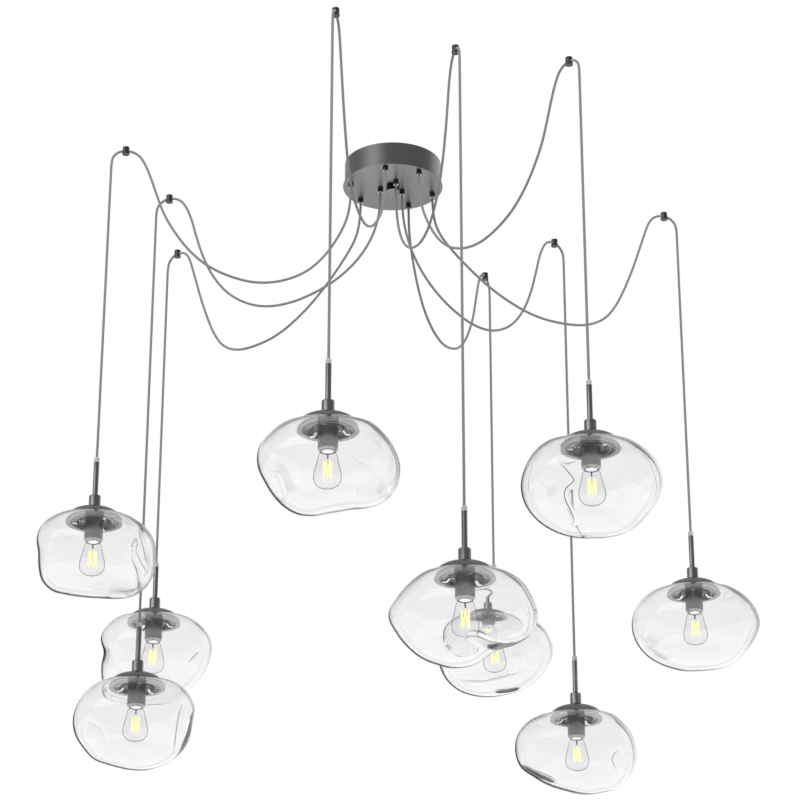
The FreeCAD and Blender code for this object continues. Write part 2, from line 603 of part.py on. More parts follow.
# ---- The whole assembly -----------------------------------------------------------------
def main():
    os.makedirs("parts", exist_ok=True)
    write("canopy", canopy())
    write("mounting_strap", *mounting_strap())
    write("centre_knob", centre_knob())
    connectors = [radial(wire_connector(), CONNECTOR_RADIUS, CONNECTOR_AZIMUTH + 120 * k)
                  for k in range(CONNECTOR_COUNT)]
    write("wire_connectors", *connectors)
    grips = []
    hooks = []
    section = math.pi * CORD_DIAMETER ** 2 / 4
    for number, place, azimuth in pendants():
        grips += [radial(piece, GRIP_RADIUS[place], azimuth) for piece in cord_grip()]
        hooks.append(radial(ceiling_hook(), HOOK_RADIUS[place], azimuth))
        points = swag_points(place, azimuth)
        tube, length = cord_tube(points)
        write("swag_cord_%d" % number, tube)
        if number <= PLACES:
            print("swag %d: length %.0f, volume / (section x length) %.4f, radii %s" % (
                number, length, tube.Volume / (section * length),
                " ".join("%.0f" % r for r in cord_radii(points))))
        across = HOOK_RADIUS[place] + DROP_OFFSET
        write("drop_cord_%d" % number, radial(drop_cord(place), across, azimuth))
        depth = -FERRULE_DEPTH[place]
        fitting = list(ferrule_and_stem()) + [cap()] + shade_fastening()
        write("fitting_%d" % number, *[radial(s, across, azimuth, depth) for s in fitting])
        write("socket_%d" % number, *[radial(s, across, azimuth, depth) for s in socket()])
        write("bulb_%d" % number, *[radial(s, across, azimuth, depth) for s in lamp()])
        glass = shade(SHADE_FORMS[number - 1])
        write("shade_%d" % number, radial(glass, across, azimuth, depth))
    write("cord_grips", *grips)
    write("ceiling_hooks", *hooks)


main()
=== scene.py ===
"""Cluster pendant: nine blown-glass pendants on cords that swag from one ceiling canopy.

Lengths are in millimetres up to the point where a mesh is made, which is in metres.
The origin is the centre of the canopy's ceiling face and everything hangs below z = 0.
A pendant's own depths are measured down from the top of its strain relief.
"""
import math

import bmesh
import bpy
import numpy as np
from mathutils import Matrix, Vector


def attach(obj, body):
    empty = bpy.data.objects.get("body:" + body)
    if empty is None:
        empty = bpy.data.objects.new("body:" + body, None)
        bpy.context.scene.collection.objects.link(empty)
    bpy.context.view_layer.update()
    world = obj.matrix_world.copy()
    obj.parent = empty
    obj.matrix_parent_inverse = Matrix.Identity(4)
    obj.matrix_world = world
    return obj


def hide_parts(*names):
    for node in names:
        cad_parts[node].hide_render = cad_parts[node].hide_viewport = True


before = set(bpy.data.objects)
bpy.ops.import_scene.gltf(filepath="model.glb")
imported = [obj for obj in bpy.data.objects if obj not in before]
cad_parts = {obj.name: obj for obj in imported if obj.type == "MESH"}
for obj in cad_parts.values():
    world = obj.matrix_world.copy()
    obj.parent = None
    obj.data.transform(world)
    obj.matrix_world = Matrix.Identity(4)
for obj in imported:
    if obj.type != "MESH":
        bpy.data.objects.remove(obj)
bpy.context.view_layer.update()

# ---- Sizes, as the construction has them -----------------------------
MM = 0.001
CLUSTERS = 3
PLACES = 3
FIRST_AZIMUTH = 20.3
AZIMUTH_STEP = 23.85
HOOK_RADIUS = [767.0, 609.0, 681.0]
GRIP_RADIUS = [108.0, 33.0, 108.0]
FERRULE_DEPTH = [897.0, 1172.0, 848.0]
DROP_OFFSET = 35.2
PIVOT_DEPTH = 62.0
BODY_GAP = 0.6

CORD_RADIUS = 3.15
BRAID_STRANDS = 6.0
BRAID_PITCH = 0.0042    # metres, like the attribute that it is divided into
CORD_IN_HOOK_DEPTH = 10.0
CORD_IN_FITTING = 8.0
SWAG_ROUTE = [
    [(108, -112), (121, -166), (153, -207), (204, -256), (264, -304), (328, -341),
     (394, -366), (464, -373), (530, -368), (583, -342), (618, -296), (645, -240),
     (669, -182), (690.5, -121), (708.5, -69)],
    [(33, -112), (43, -168), (66, -221), (102, -268), (150, -307), (209, -337),
     (277, -357), (345, -357), (403, -334), (449, -297), (486, -245), (512, -188),
     (531, -129), (547, -72)],
    [(108, -114), (119, -170), (143, -223), (176, -276), (222, -322), (283, -350),
     (348, -358), (411, -344), (467, -319), (512, -281), (549, -234), (580, -182),
     (600, -127), (618, -75)],
]
HOOK_TURN = [(-46, -36.5), (-31.5, -18.4), (-12.7, -CORD_IN_HOOK_DEPTH),
             (9.5, -CORD_IN_HOOK_DEPTH), (25.8, -19.9), (DROP_OFFSET, -36.2)]
SWAG_LENGTHS = [1103.0, 1019.0, 1009.0]

CANOPY_RADIUS = 127.0
CANOPY_HEIGHT = 64.0
CANOPY_WALL = 1.5
CANOPY_LIP = 4.0
CANOPY_LIP_HEIGHT = 3.0
KNOB_RADIUS = 17.5
KNOB_HEIGHT = 12.4
GRIP_HEIGHT = 10.0
GRIP_OUTER_RADIUS = 7.2
GRIP_FACE = -(CANOPY_HEIGHT + GRIP_HEIGHT)

FERRULE_LENGTH = 12.0
COUPLING_TOP = 98.0
CROWN_DEPTH = 131.5
CAP_RADIUS = 68.5
CAP_DOME = 31.5
CAP_CROWN_RADIUS = 15.0
CAP_THICKNESS = 1.5
CAP_RIM_DEPTH = 163.0
CAP_FLANGE_WIDTH = 11.0
HUB_DEPTH = 157.5
HUB_RADIUS = 35.0
HUB_THICKNESS = 3.0
CUP_DEPTH = 160.5
CUP_RADIUS = 22.0
MOUTH_DEPTH = 215.5
MOUTH_RADIUS = 15.5
HOLDER_BORE_RADIUS = 13.4
SEAT_DEPTH = 163.3
SEAT_RADIUS = 69.5
HOLE_RADIUS = 42.0
GLASS_WALL = 3.5
LAMP_RADIUS = 30.15
LAMP_LENGTH = 84.0
NECK_RADIUS = 12.4
FILAMENTS = 6
AT_AXIS = 0.0001        # radius of a ring whose copies all start at the axis

CAMERA_PLACE = Vector((18.3, -5919.5, -3189.3))
CAMERA_PITCH = 23.185
CAMERA_LENS = 117.57


def pendants():
    """Number, place in its cluster, azimuth in radians and axis of each pendant."""
    for cluster in range(CLUSTERS):
        for place in range(PLACES):
            azimuth = math.radians(FIRST_AZIMUTH + 360 / CLUSTERS * cluster
                                   + AZIMUTH_STEP * place)
            across = HOOK_RADIUS[place] + DROP_OFFSET
            axis = (across * math.cos(azimuth), across * math.sin(azimuth))
            yield PLACES * cluster + place + 1, place, azimuth, axis


# ---- Shader building -------------------------------------------------
def new_node(tree, kind, settings, inputs):
    """One node: its settings first, then the values or links of its sockets."""
    made = tree.nodes.new(kind)
    for name, value in (settings or {}).items():
        setattr(made, name, value)
    for name, value in (inputs or {}).items():
        if isinstance(value, Term):
            value = value.socket
        if isinstance(value, bpy.types.NodeSocket):
            tree.links.new(value, made.inputs[name])
        else:
            made.inputs[name].default_value = value
    return made


class Term:
    """A number that varies over a surface: a shader socket that takes plain arithmetic."""

    def __init__(self, shader, socket):
        self.shader = shader
        self.socket = socket

    def maths(self, operation, *others):
        inputs = dict(enumerate((self,) + others))
        return self.shader.node("ShaderNodeMath", {"operation": operation}, inputs).term()

    def __add__(self, other):
        return self.maths("ADD", other)

    def __sub__(self, other):
        return self.maths("SUBTRACT", other)

    def __mul__(self, other):
        return self.maths("MULTIPLY", other)

    def __pow__(self, other):
        return self.maths("POWER", other)

    def __neg__(self):
        return self.maths("MULTIPLY", -1.0)

    def __radd__(self, other):
        return self + other

    def __rmul__(self, other):
        return self * other

    def __rsub__(self, other):
        return -self + other

    def sine(self):
        return self.maths("SINE")

    def bigger_of(self, other):
        return self.maths("MAXIMUM", other)

    def step(self, low, high):
        """Rises smoothly from 0 at low to 1 at high."""
        settings = {"interpolation_type": "SMOOTHSTEP"}
        inputs = {"Value": self, "From Min": low, "From Max": high}
        return self.shader.node("ShaderNodeMapRange", settings, inputs).term("Result")


class Node:
    """A shader node whose outputs are read by name."""

    def __init__(self, shader, node):
        self.shader = shader
        self.node = node

    def term(self, name=0):
        return Term(self.shader, self.node.outputs[name])

    def out(self, name=0):
        return self.node.outputs[name]


class Shader:
    """Builds the node tree of a material or of the world."""

    def __init__(self, owner):
        owner.use_nodes = True
        self.owner = owner
        self.tree = owner.node_tree
        self.tree.nodes.clear()

    def node(self, kind, settings=None, inputs=None):
        return Node(self, new_node(self.tree, kind, settings, inputs))

    def object_point(self):
        return self.node("ShaderNodeTexCoord").out("Object")

    def noise(self, scale, detail=2.0, stretch=None):
        """Soft noise on Object coordinates, which a stretch scales along each axis."""
        point = self.object_point()
        if stretch:
            inputs = {"Vector": point, "Scale": stretch}
            point = self.node("ShaderNodeMapping", {}, inputs).out()
        inputs = {"Vector": point, "Scale": scale, "Detail": detail}
        return self.node("ShaderNodeTexNoise", {}, inputs).term(0)

    def split(self, vector):
        """The X, Y and Z of a vector."""
        parts = self.node("ShaderNodeSeparateXYZ", {}, {0: vector})
        return [parts.term(axis) for axis in "XYZ"]

    def mix(self, share, first, second):
        """A colour between two colours."""
        inputs = {0: share, 6: first, 7: second}
        return self.node("ShaderNodeMix", {"data_type": "RGBA"}, inputs).out(2)

    def blend(self, share, first, second):
        """A number between two numbers."""
        inputs = {0: share, 2: first, 3: second}
        return self.node("ShaderNodeMix", {"data_type": "FLOAT"}, inputs).term(0)

    def either(self, share, first, second):
        """A surface between two surfaces."""
        return self.node("ShaderNodeMixShader", {}, {0: share, 1: first, 2: second}).out()

    def see_through(self, tint):
        """A surface that only tints what lies behind it."""
        return self.node("ShaderNodeBsdfTransparent", {}, {0: tint}).out()

    def lit(self, colour, strength):
        """A surface that only shines by itself."""
        inputs = {"Color": colour, "Strength": strength}
        return self.node("ShaderNodeEmission", {}, inputs).out()

    def bump(self, height, strength, distance):
        inputs = {"Height": height, "Strength": strength, "Distance": distance}
        return self.node("ShaderNodeBump", {}, inputs).out("Normal")

    def surface(self, shader_socket):
        """Ends the material and gives it back."""
        self.node("ShaderNodeOutputMaterial", {}, {"Surface": shader_socket})
        return self.owner

    def principled(self, **inputs):
        named = {name.replace("_", " "): value for name, value in inputs.items()}
        return self.node("ShaderNodeBsdfPrincipled", {}, named).out()

    def plain(self, **inputs):
        """Ends a material that is one principled surface."""
        return self.surface(self.principled(**inputs))


def grey(level, warm=0.0):
    """A near-neutral colour, a little warm or cool."""
    return (level * (1 + warm), level, level * (1 - warm), 1.0)


def material(name):
    return Shader(bpy.data.materials.new(name))


def satin_metal(name, level, roughness, warm=0.02, grain=1.0):
    """Plated metal: fine turning grain, faint clouding and slightly worn sheen."""
    s = material(name)
    clouds = s.noise(9.0, 3.0)
    turning = s.noise(1.0, stretch=(30.0, 30.0, 2200.0))
    specks = s.noise(900.0)
    colour = s.mix(clouds, grey(level * 0.9, warm), grey(level * 1.12, warm))
    rough = roughness - 0.05 + 0.08 * clouds + 0.05 * grain * turning
    normal = s.bump(turning + 0.5 * specks, 0.05 * grain, 0.0002)
    return s.plain(Base_Color=colour, Metallic=1.0, Roughness=rough, Normal=normal)


def cord_jacket():
    """Finely braided textile jacket, its strands crossing round the cord."""
    s = material("grey_braided_cord")
    turn = s.node("ShaderNodeAttribute", {"attribute_name": "round"})
    along = s.node("ShaderNodeAttribute", {"attribute_name": "along"}).term("Fac")
    across, upward, _ = s.split(turn.out("Vector"))
    angle = upward.maths("ARCTAN2", across)
    rise = along * (2 * math.pi / BRAID_PITCH)
    left = (BRAID_STRANDS * angle + rise).sine()
    right = (BRAID_STRANDS * angle - rise).sine()
    weave = 0.5 + 0.5 * left * right
    fibres = s.noise(2400.0)
    colour = s.mix(0.6 * weave + 0.4 * fibres, grey(0.155), grey(0.26))
    normal = s.bump(weave + 0.3 * fibres, 0.35, 0.00025)
    rough = 0.62 + 0.14 * fibres
    return s.plain(Base_Color=colour, Roughness=rough, Normal=normal, Sheen_Weight=0.15,
                   Specular_IOR_Level=0.35)


def moulded_plastic(name, colour, roughness):
    """Plain moulded plastic with a fine eggshell surface."""
    s = material(name)
    skin = s.noise(1300.0)
    darker = tuple(0.93 * c for c in colour[:3]) + (1.0,)
    tone = s.mix(s.noise(40.0), darker, colour)
    return s.plain(Base_Color=tone, Roughness=roughness + 0.08 * skin,
                   Normal=s.bump(skin, 0.08, 0.0001))


def clear_nylon():
    """The strain relief's milky plastic, which shows a pale grey."""
    s = material("clear_nylon")
    skin = s.noise(700.0)
    return s.plain(Base_Color=s.mix(skin, grey(0.42), grey(0.55)),
                   Roughness=0.22 + 0.1 * skin, Coat_Weight=0.4, Alpha=0.92)


def thin_lamp_glass():
    """Thin clear glass: light passes straight through, the rim reflects and darkens."""
    s = material("thin_lamp_glass")
    facing = s.node("ShaderNodeLayerWeight", {}, {"Blend": 0.5}).term("Facing")
    ripples = s.noise(60.0)
    normal = s.bump(ripples, 0.04, 0.0006)
    clear = s.see_through((0.955, 0.950, 0.962, 1.0))
    rim = s.see_through((0.08, 0.08, 0.085, 1.0))
    gloss = s.node("ShaderNodeBsdfGlossy", {}, {"Color": (1, 1, 1, 1), "Roughness": 0.02,
                                                 "Normal": normal}).out()
    body = s.either(facing.step(0.60, 0.84), clear, rim)
    return s.surface(s.either(0.035 + 0.30 * facing ** 4.0, body, gloss))


def blown_glass():
    """Clear blown glass: refraction in a real wall, a painted dark rim that is heavier on
    the lower left, painted dark lines along the creases, and soft ripples.

    The crease attribute holds the distance from the nearest crease in millimetres, how
    dark the painted shade line along that crease is, and how low on the glass a point is,
    from 0 to 1, which places the painted light patches.
    """
    s = material("clear_blown_glass")
    facing = s.node("ShaderNodeLayerWeight", {}, {"Blend": 0.5}).term("Facing")
    ripples = s.noise(22.0, 1.0)
    off_line, crease_shade, lowness = s.split(
        s.node("ShaderNodeAttribute", {"attribute_name": "crease"}).out("Vector"))
    # Whiter glass in blotches low on each shade: painted light, standing in for bright
    # light seen through the glass.
    blotch_noise = s.noise(9.0, 1.0)
    painted_light_mask = (lowness + 1.1 * (blotch_noise - 0.5)).step(0.50, 0.58)
    tint = s.mix(painted_light_mask, (0.915, 0.915, 0.918, 1.0), (1.0, 1.0, 1.0, 1.0))
    glass = s.principled(Base_Color=tint, Roughness=0.0, IOR=1.47, Transmission_Weight=1.0,
                         Normal=s.bump(ripples, 0.05, 0.002))
    # Painted shade: a dark rim where the glass turns away, heavier on the lower left, and
    # dark lines along the creases.
    dark = s.see_through((0.16, 0.16, 0.165, 1.0))
    across, _, upward = s.split(s.node("ShaderNodeNewGeometry").out("Normal"))
    shaded_lower_left = (-0.75 * across - 0.65 * upward).step(0.1, 0.95)
    rim = (facing + 0.13 * shaded_lower_left).step(0.87, 0.95) * (0.48 + 0.40 * shaded_lower_left)
    line = (1.0 - off_line.maths("ABSOLUTE").step(0.4, 1.7)) * crease_shade
    return s.surface(s.either(rim.bigger_of(line), glass, dark))


def filament_light():
    """Pale yellow coated filament that glows faintly."""
    s = material("pale_yellow_filament")
    coat = s.noise(1500.0)
    colour = s.mix(coat, (1.0, 0.97, 0.34, 1.0), (1.0, 1.0, 0.50, 1.0))
    return s.plain(Base_Color=colour, Roughness=0.5, Emission_Color=colour,
                   Emission_Strength=0.7)


def painted_glow_white():
    """White ceramic with a painted glow: emission that stands in for the light falling on
    it.
    """
    s = material("painted_glow_white_ceramic")
    tone = s.mix(s.noise(400.0), grey(0.80, 0.01), grey(0.86, 0.01))
    return s.plain(Base_Color=tone, Roughness=0.3, Emission_Color=tone,
                   Emission_Strength=0.9)


GRAPHITE = satin_metal("satin_graphite", 0.235, 0.30)
GRAPHITE_DARK = satin_metal("graphite_small_parts", 0.10, 0.34)
# Near-black copy of the metal: painted shade on the centre knob's sides.
KNOB_SIDE_PAINTED_SHADE = satin_metal("knob_side_painted_shade", 0.03, 0.4)
# Lighter copy of the metal: painted light reflected up into the cap from below.
CAP_UNDERSIDE_PAINTED_LIGHT = satin_metal("cap_underside_painted_light", 0.42, 0.42, 0.0)
# Lighter copy of the metal: a painted highlight on the socket cup's chamfer.
CUP_CHAMFER_PAINTED_HIGHLIGHT = satin_metal("cup_chamfer_painted_highlight", 0.42, 0.27, 0.01)
ZINC = satin_metal("zinc_plated_steel", 0.52, 0.33, -0.01)
NICKEL = satin_metal("bright_nickel", 0.78, 0.16, 0.01, 0.4)
CORD = cord_jacket()
NYLON = clear_nylon()
RUBBER = moulded_plastic("black_rubber", grey(0.02), 0.7)
CREAM = moulded_plastic("cream_connector_plastic", (0.72, 0.66, 0.48, 1.0), 0.45)
CERAMIC = moulded_plastic("white_lampholder_ceramic", grey(0.78, 0.02), 0.3)
LAMP_GLASS = thin_lamp_glass()
BLOWN_GLASS = blown_glass()
FILAMENT = filament_light()
PAINTED_GLOW_WHITE = painted_glow_white()


# ---- Mesh building ---------------------------------------------------
def linked(name, data):
    """A new object of the scene that holds this data."""
    made = bpy.data.objects.new(name, data)
    bpy.context.scene.collection.objects.link(made)
    return made


def make_object(name, verts, faces, finish, smooth_angle=35.0, second=None, chosen=None):
    """An object at the origin whose vertices, in millimetres, become metres.

    Faces whose centre and normal the chosen test accepts take the second finish.
    """
    mesh = bpy.data.meshes.new(name)
    mesh.from_pydata([tuple(float(c) * MM for c in v) for v in verts], [], faces)
    mesh.validate()
    mesh.polygons.foreach_set("use_smooth", [True] * len(mesh.polygons))
    mesh.set_sharp_from_angle(angle=math.radians(smooth_angle))
    mesh.materials.append(finish)
    mesh.update()
    if second is not None:
        mesh.materials.append(second)
        for face in mesh.polygons:
            face.material_index = int(chosen(face.center / MM, face.normal))
    return linked(name, mesh)


def rounded(points, radius, steps=4):
    """An outline with each corner cut to an arc, as far as its runs allow."""
    made = []
    count = len(points)
    for k, here in enumerate(points):
        before, after = Vector(points[k - 1]), Vector(points[(k + 1) % count])
        here = Vector(here)
        if here.x < 1e-6 or k in (0, count - 1) and (points[0][0] < 1e-6):
            made.append(tuple(here))
            continue
        inward, outward = before - here, after - here
        reach = min(radius, 0.45 * inward.length, 0.45 * outward.length)
        start = here + inward.normalized() * reach
        end = here + outward.normalized() * reach
        for j in range(steps + 1):
            t = j / steps
            made.append(tuple(start.lerp(here, t).lerp(here.lerp(end, t), t)))
    return made


def revolved(outline, segments=64):
    """Vertices and faces of a closed outline of (radius, height) turned round the Z axis.

    The outline runs so that the solid lies on its left, seen with the radius to the
    right and the height upwards. Points on the axis become one vertex.
    """
    verts, rings = [], []
    for radius, height in outline:
        if radius < 1e-6:
            rings.append([len(verts)] * segments)
            verts.append((0.0, 0.0, height))
        else:
            start = len(verts)
            for k in range(segments):
                a = 2 * math.pi * k / segments
                verts.append((radius * math.cos(a), radius * math.sin(a), height))
            rings.append(list(range(start, start + segments)))
    faces = []
    for k in range(len(rings)):
        low, high = rings[k], rings[(k + 1) % len(rings)]
        if low[0] == low[-1] and high[0] == high[-1]:
            continue
        for j in range(segments):
            n = (j + 1) % segments
            face = [low[j], low[n], high[n], high[j]]
            face = [v for i, v in enumerate(face) if v not in face[:i]]
            if len(face) > 2:
                faces.append(face)
    return verts, faces


def joined(*parts):
    """Several vertex and face lists as one."""
    verts, faces = [], []
    for more_verts, more_faces in parts:
        shift = len(verts)
        verts += list(more_verts)
        faces += [[v + shift for v in face] for face in more_faces]
    return verts, faces


def placed(shape, axis, depth, azimuth=0.0):
    """A shape turned about the Z axis, then moved to a pendant's axis and depth."""
    c, s = math.cos(azimuth), math.sin(azimuth)
    verts = [(axis[0] + x * c - y * s, axis[1] + x * s + y * c, z - depth)
             for x, y, z in shape[0]]
    return verts, shape[1]


def prism(points, width):
    """A strip of that width along Y whose side outline lies in the XZ plane."""
    count = len(points)
    verts = [(x, side * width / 2, z) for side in (-1, 1) for x, z in points]
    faces = [list(range(count)), list(range(2 * count - 1, count - 1, -1))]
    for k in range(count):
        n = (k + 1) % count
        faces.append([n, k, count + k, count + n])
    return verts, faces


def facing_out(piece):
    """Recalculates the normals of a closed shape."""
    work = bmesh.new()
    work.from_mesh(piece.data)
    bmesh.ops.remove_doubles(work, verts=work.verts, dist=1e-7)
    bmesh.ops.recalc_face_normals(work, faces=work.faces)
    work.to_mesh(piece.data)
    work.free()
    return piece


def turned(outline, edge, segments, steps=4):
    """A turned part: its outline with eased corners, revolved round the Z axis."""
    return revolved(rounded(outline, edge, steps), segments)


def sleeve(inner, outer, low, high, edge, segments, steps=3):
    """A plain turned ring, or a disc where its inner radius is 0."""
    outline = [(inner, low), (outer, low), (outer, high), (inner, high)]
    return turned(outline, edge, segments, steps)


def lifted(shape, height):
    """A shape moved along Z."""
    return [(x, y, z + height) for x, y, z in shape[0]], shape[1]


def stands_for(piece, node, body):
    """The node that a piece replaces and the body that it rides on."""
    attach(piece, body)
    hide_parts(node)


# ---- Smooth lines ----------------------------------------------------
def between(p0, p1, p2, p3, t):
    """A point from p1, at t = 0, to p2, at t = 1, on a smooth line through all four."""
    return 0.5 * (2 * p1 + (p2 - p0) * t + (2 * p0 - 5 * p1 + 4 * p2 - p3) * t ** 2
                  + (3 * p1 - p0 - 3 * p2 + p3) * t ** 3)


def around(values, turn):
    """Smooth reading, at turns in radians, of values spaced evenly round a circle."""
    values = np.array(values, float)
    count = len(values)
    place = (turn / (2 * math.pi) * count) % count
    k = np.floor(place).astype(int)
    return between(*(values[(k + j) % count] for j in (-1, 0, 1, 2)), place - k)


def eased(line, steps=6):
    """A line of points, rounded through its own points."""
    line = np.array(line, float)
    made = []
    for k in range(len(line) - 1):
        four = [line[max(0, min(len(line) - 1, k + j))] for j in (-1, 0, 1, 2)]
        made += [between(*four, j / steps) for j in range(steps)]
    return made + [line[-1]]


def smooth(value):
    """Rises smoothly from 0 at 0 to 1 at 1."""
    value = np.clip(value, 0.0, 1.0)
    return value * value * (3 - 2 * value)


# ---- Geometry Nodes building -----------------------------------------
class Tree:
    """A Geometry Nodes tree with named inputs."""

    def __init__(self, name):
        self.tree = bpy.data.node_groups.new(name, "GeometryNodeTree")
        for way in ("INPUT", "OUTPUT"):
            self.tree.interface.new_socket("Geometry", in_out=way,
                                           socket_type="NodeSocketGeometry")
        self.entry = self.tree.nodes.new("NodeGroupInput")
        self.exit = self.tree.nodes.new("NodeGroupOutput")

    def given(self, name, kind, value=None):
        """A named input of the tree."""
        socket = self.tree.interface.new_socket(name, in_out="INPUT",
                                                socket_type="NodeSocket" + kind)
        if value is not None:
            socket.default_value = value
        return self.entry.outputs[name]

    def node(self, kind, settings=None, inputs=None):
        return new_node(self.tree, kind, settings, inputs)

    def finish(self, geometry, finish_socket):
        """Ends the tree in Realize Instances and Set Material."""
        real = self.node("GeometryNodeRealizeInstances", {}, {0: geometry})
        dressed = self.node("GeometryNodeSetMaterial", {},
                            {"Geometry": real.outputs[0], "Material": finish_socket})
        self.tree.links.new(dressed.outputs[0], self.exit.inputs[0])
        return self.tree


def baked(name, source, tree, values):
    """The tree's result on a source object, as a plain mesh object at the origin."""
    modifier = source.modifiers.new(tree.name, "NODES")
    modifier.node_group = tree
    named = {item.name: item.identifier for item in tree.interface.items_tree
             if item.item_type == "SOCKET" and item.in_out == "INPUT"}
    for key, value in values.items():
        modifier[named[key]] = value
    bpy.context.view_layer.update()
    graph = bpy.context.evaluated_depsgraph_get()
    mesh = bpy.data.meshes.new_from_object(source.evaluated_get(graph), depsgraph=graph)
    mesh.name = name
    bpy.data.objects.remove(source)
    return linked(name, mesh)


def ring_tree():
    """Copies of one object, evenly round a circle, each facing outwards."""
    t = Tree("ring_of_parts")
    part = t.given("Part", "Object")
    count = t.given("Count", "Int", 6)
    radius = t.given("Radius", "Float", 0.01)
    lean = t.given("Lean", "Float", 0.0)
    finish = t.given("Finish", "Material")
    circle = t.node("GeometryNodeMeshCircle", {}, {"Vertices": count, "Radius": radius})
    number = t.node("GeometryNodeInputIndex").outputs[0]
    share = t.node("ShaderNodeMath", {"operation": "DIVIDE"}, {0: number, 1: count})
    turn = t.node("ShaderNodeMath", {"operation": "MULTIPLY"},
                  {0: share.outputs[0], 1: 2 * math.pi})
    angles = t.node("ShaderNodeCombineXYZ", {}, {"X": lean, "Z": turn.outputs[0]})
    rotation = t.node("FunctionNodeEulerToRotation", {}, {0: angles.outputs[0]})
    shape = t.node("GeometryNodeObjectInfo", {"transform_space": "ORIGINAL"},
                   {"Object": part})
    copies = t.node("GeometryNodeInstanceOnPoints", {},
                    {"Points": circle.outputs[0], "Instance": shape.outputs["Geometry"],
                     "Rotation": rotation.outputs[0]})
    return t.finish(copies.outputs[0], finish)


def cord_tree():
    """A round jacket along a curve, with its length and its turn kept for the braid."""
    t = Tree("cord_jacket_on_route")
    radius = t.given("Radius", "Float", 0.0025)
    sides = t.given("Sides", "Int", 12)
    finish = t.given("Finish", "Material")
    length = t.node("GeometryNodeSplineParameter").outputs["Length"]
    route = t.node("GeometryNodeStoreNamedAttribute",
                   {"data_type": "FLOAT", "domain": "POINT"},
                   {"Geometry": t.entry.outputs[0], "Name": "along", "Value": length})
    circle = t.node("GeometryNodeCurvePrimitiveCircle", {},
                    {"Resolution": sides, "Radius": radius})
    place = t.node("GeometryNodeInputPosition").outputs[0]
    section = t.node("GeometryNodeStoreNamedAttribute",
                     {"data_type": "FLOAT_VECTOR", "domain": "POINT"},
                     {"Geometry": circle.outputs[0], "Name": "round", "Value": place})
    tube = t.node("GeometryNodeCurveToMesh", {},
                  {"Curve": route.outputs[0], "Profile Curve": section.outputs[0],
                   "Fill Caps": True})
    soft = t.node("GeometryNodeSetShadeSmooth", {}, {"Geometry": tube.outputs[0]})
    return t.finish(soft.outputs[0], finish)


RING = ring_tree()
JACKET = cord_tree()


def ring_of(name, shape, count, radius, finish, lean=0.0):
    """A baked ring of copies of one shape, in millimetres round the Z axis."""
    part = make_object(name + "_one", shape[0], shape[1], finish)
    facing_out(part)
    host = linked(name + "_host", bpy.data.meshes.new(name + "_host"))
    piece = baked(name, host, RING, {"Part": part, "Count": count, "Radius": radius * MM,
                                     "Lean": lean, "Finish": finish})
    bpy.data.objects.remove(part)
    verts = [tuple(c / MM for c in v.co) for v in piece.data.vertices]
    faces = [list(p.vertices) for p in piece.data.polygons]
    bpy.data.objects.remove(piece)
    return verts, faces


# ---- Camera ----------------------------------------------------------
camera_data = bpy.data.cameras.new("photograph")
camera_data.lens = CAMERA_LENS
camera_data.sensor_width = 36.0
camera_data.clip_start = 0.1
camera_data.clip_end = 100.0
camera = linked("photograph", camera_data)
camera.location = CAMERA_PLACE * MM
camera.rotation_euler = (math.radians(90 + CAMERA_PITCH), 0.0, 0.0)
bpy.context.scene.camera = camera


# ---- Cords -----------------------------------------------------------
def route_curve(name, points):
    """A smooth open spline whose control points are a cord's route, in millimetres."""
    data = bpy.data.curves.new(name, "CURVE")
    data.dimensions = "3D"
    data.resolution_u = 10
    spline = data.splines.new("NURBS")
    spline.points.add(len(points) - 1)
    for point, (x, y, z) in zip(spline.points, points):
        point.co = (x * MM, y * MM, z * MM, 1.0)
    spline.order_u = 3
    spline.use_endpoint_u = True
    return linked(name, data)


def cord(node, body, points, length):
    """One stretch of cord: its jacket, put on its body in place of its node."""
    name = node + "_jacket"
    curve = route_curve(name + "_route", points)
    bpy.context.view_layer.update()
    line = bpy.data.meshes.new_from_object(curve)
    bpy.data.meshes.remove(line)
    piece = baked(name, curve, JACKET, {"Radius": CORD_RADIUS * MM, "Sides": 12,
                                        "Finish": CORD})
    stands_for(piece, node, body)
    tuple(c * MM for c in points[0])
    length * MM


def swag_points(place, azimuth):
    """The route from inside the grip, through the hook, to the top of the hanging drop."""
    hook = HOOK_RADIUS[place]
    flat = [(GRIP_RADIUS[place], GRIP_FACE + CORD_IN_FITTING)] + SWAG_ROUTE[place]
    flat += [(hook + out, z) for out, z in HOOK_TURN]
    flat += [(hook + DROP_OFFSET, -PIVOT_DEPTH)]
    return [(r * math.cos(azimuth), r * math.sin(azimuth), z) for r, z in flat]


def drop_points(place, axis):
    """The hanging stretch, straight down to inside the strain relief."""
    top = -PIVOT_DEPTH - BODY_GAP
    foot = -FERRULE_DEPTH[place] - CORD_IN_FITTING
    return [(axis[0], axis[1], top + (foot - top) * k / 5) for k in range(6)]


for number, place, azimuth, axis in pendants():
    cord("swag_cord_%d" % number, "ceiling_set", swag_points(place, azimuth),
         SWAG_LENGTHS[place])
    drop = drop_points(place, axis)
    cord("drop_cord_%d" % number, "drop_%d" % number, drop, drop[0][2] - drop[-1][2])


# ---- Canopy and ceiling metalwork ------------------------------------
def canopy_shape():
    """The open pan with its wider bottom disc, edges softly rounded."""
    wall = CANOPY_RADIUS - CANOPY_LIP
    inner = wall - CANOPY_WALL
    bottom, floor = -CANOPY_HEIGHT, -CANOPY_HEIGHT + CANOPY_WALL
    lip_top = bottom + CANOPY_LIP_HEIGHT
    outline = [(0.0, bottom), (CANOPY_RADIUS, bottom), (CANOPY_RADIUS, lip_top),
               (wall, lip_top), (wall, 0.0), (inner, 0.0), (inner, floor), (0.0, floor)]
    return turned(outline, 0.8, 160)


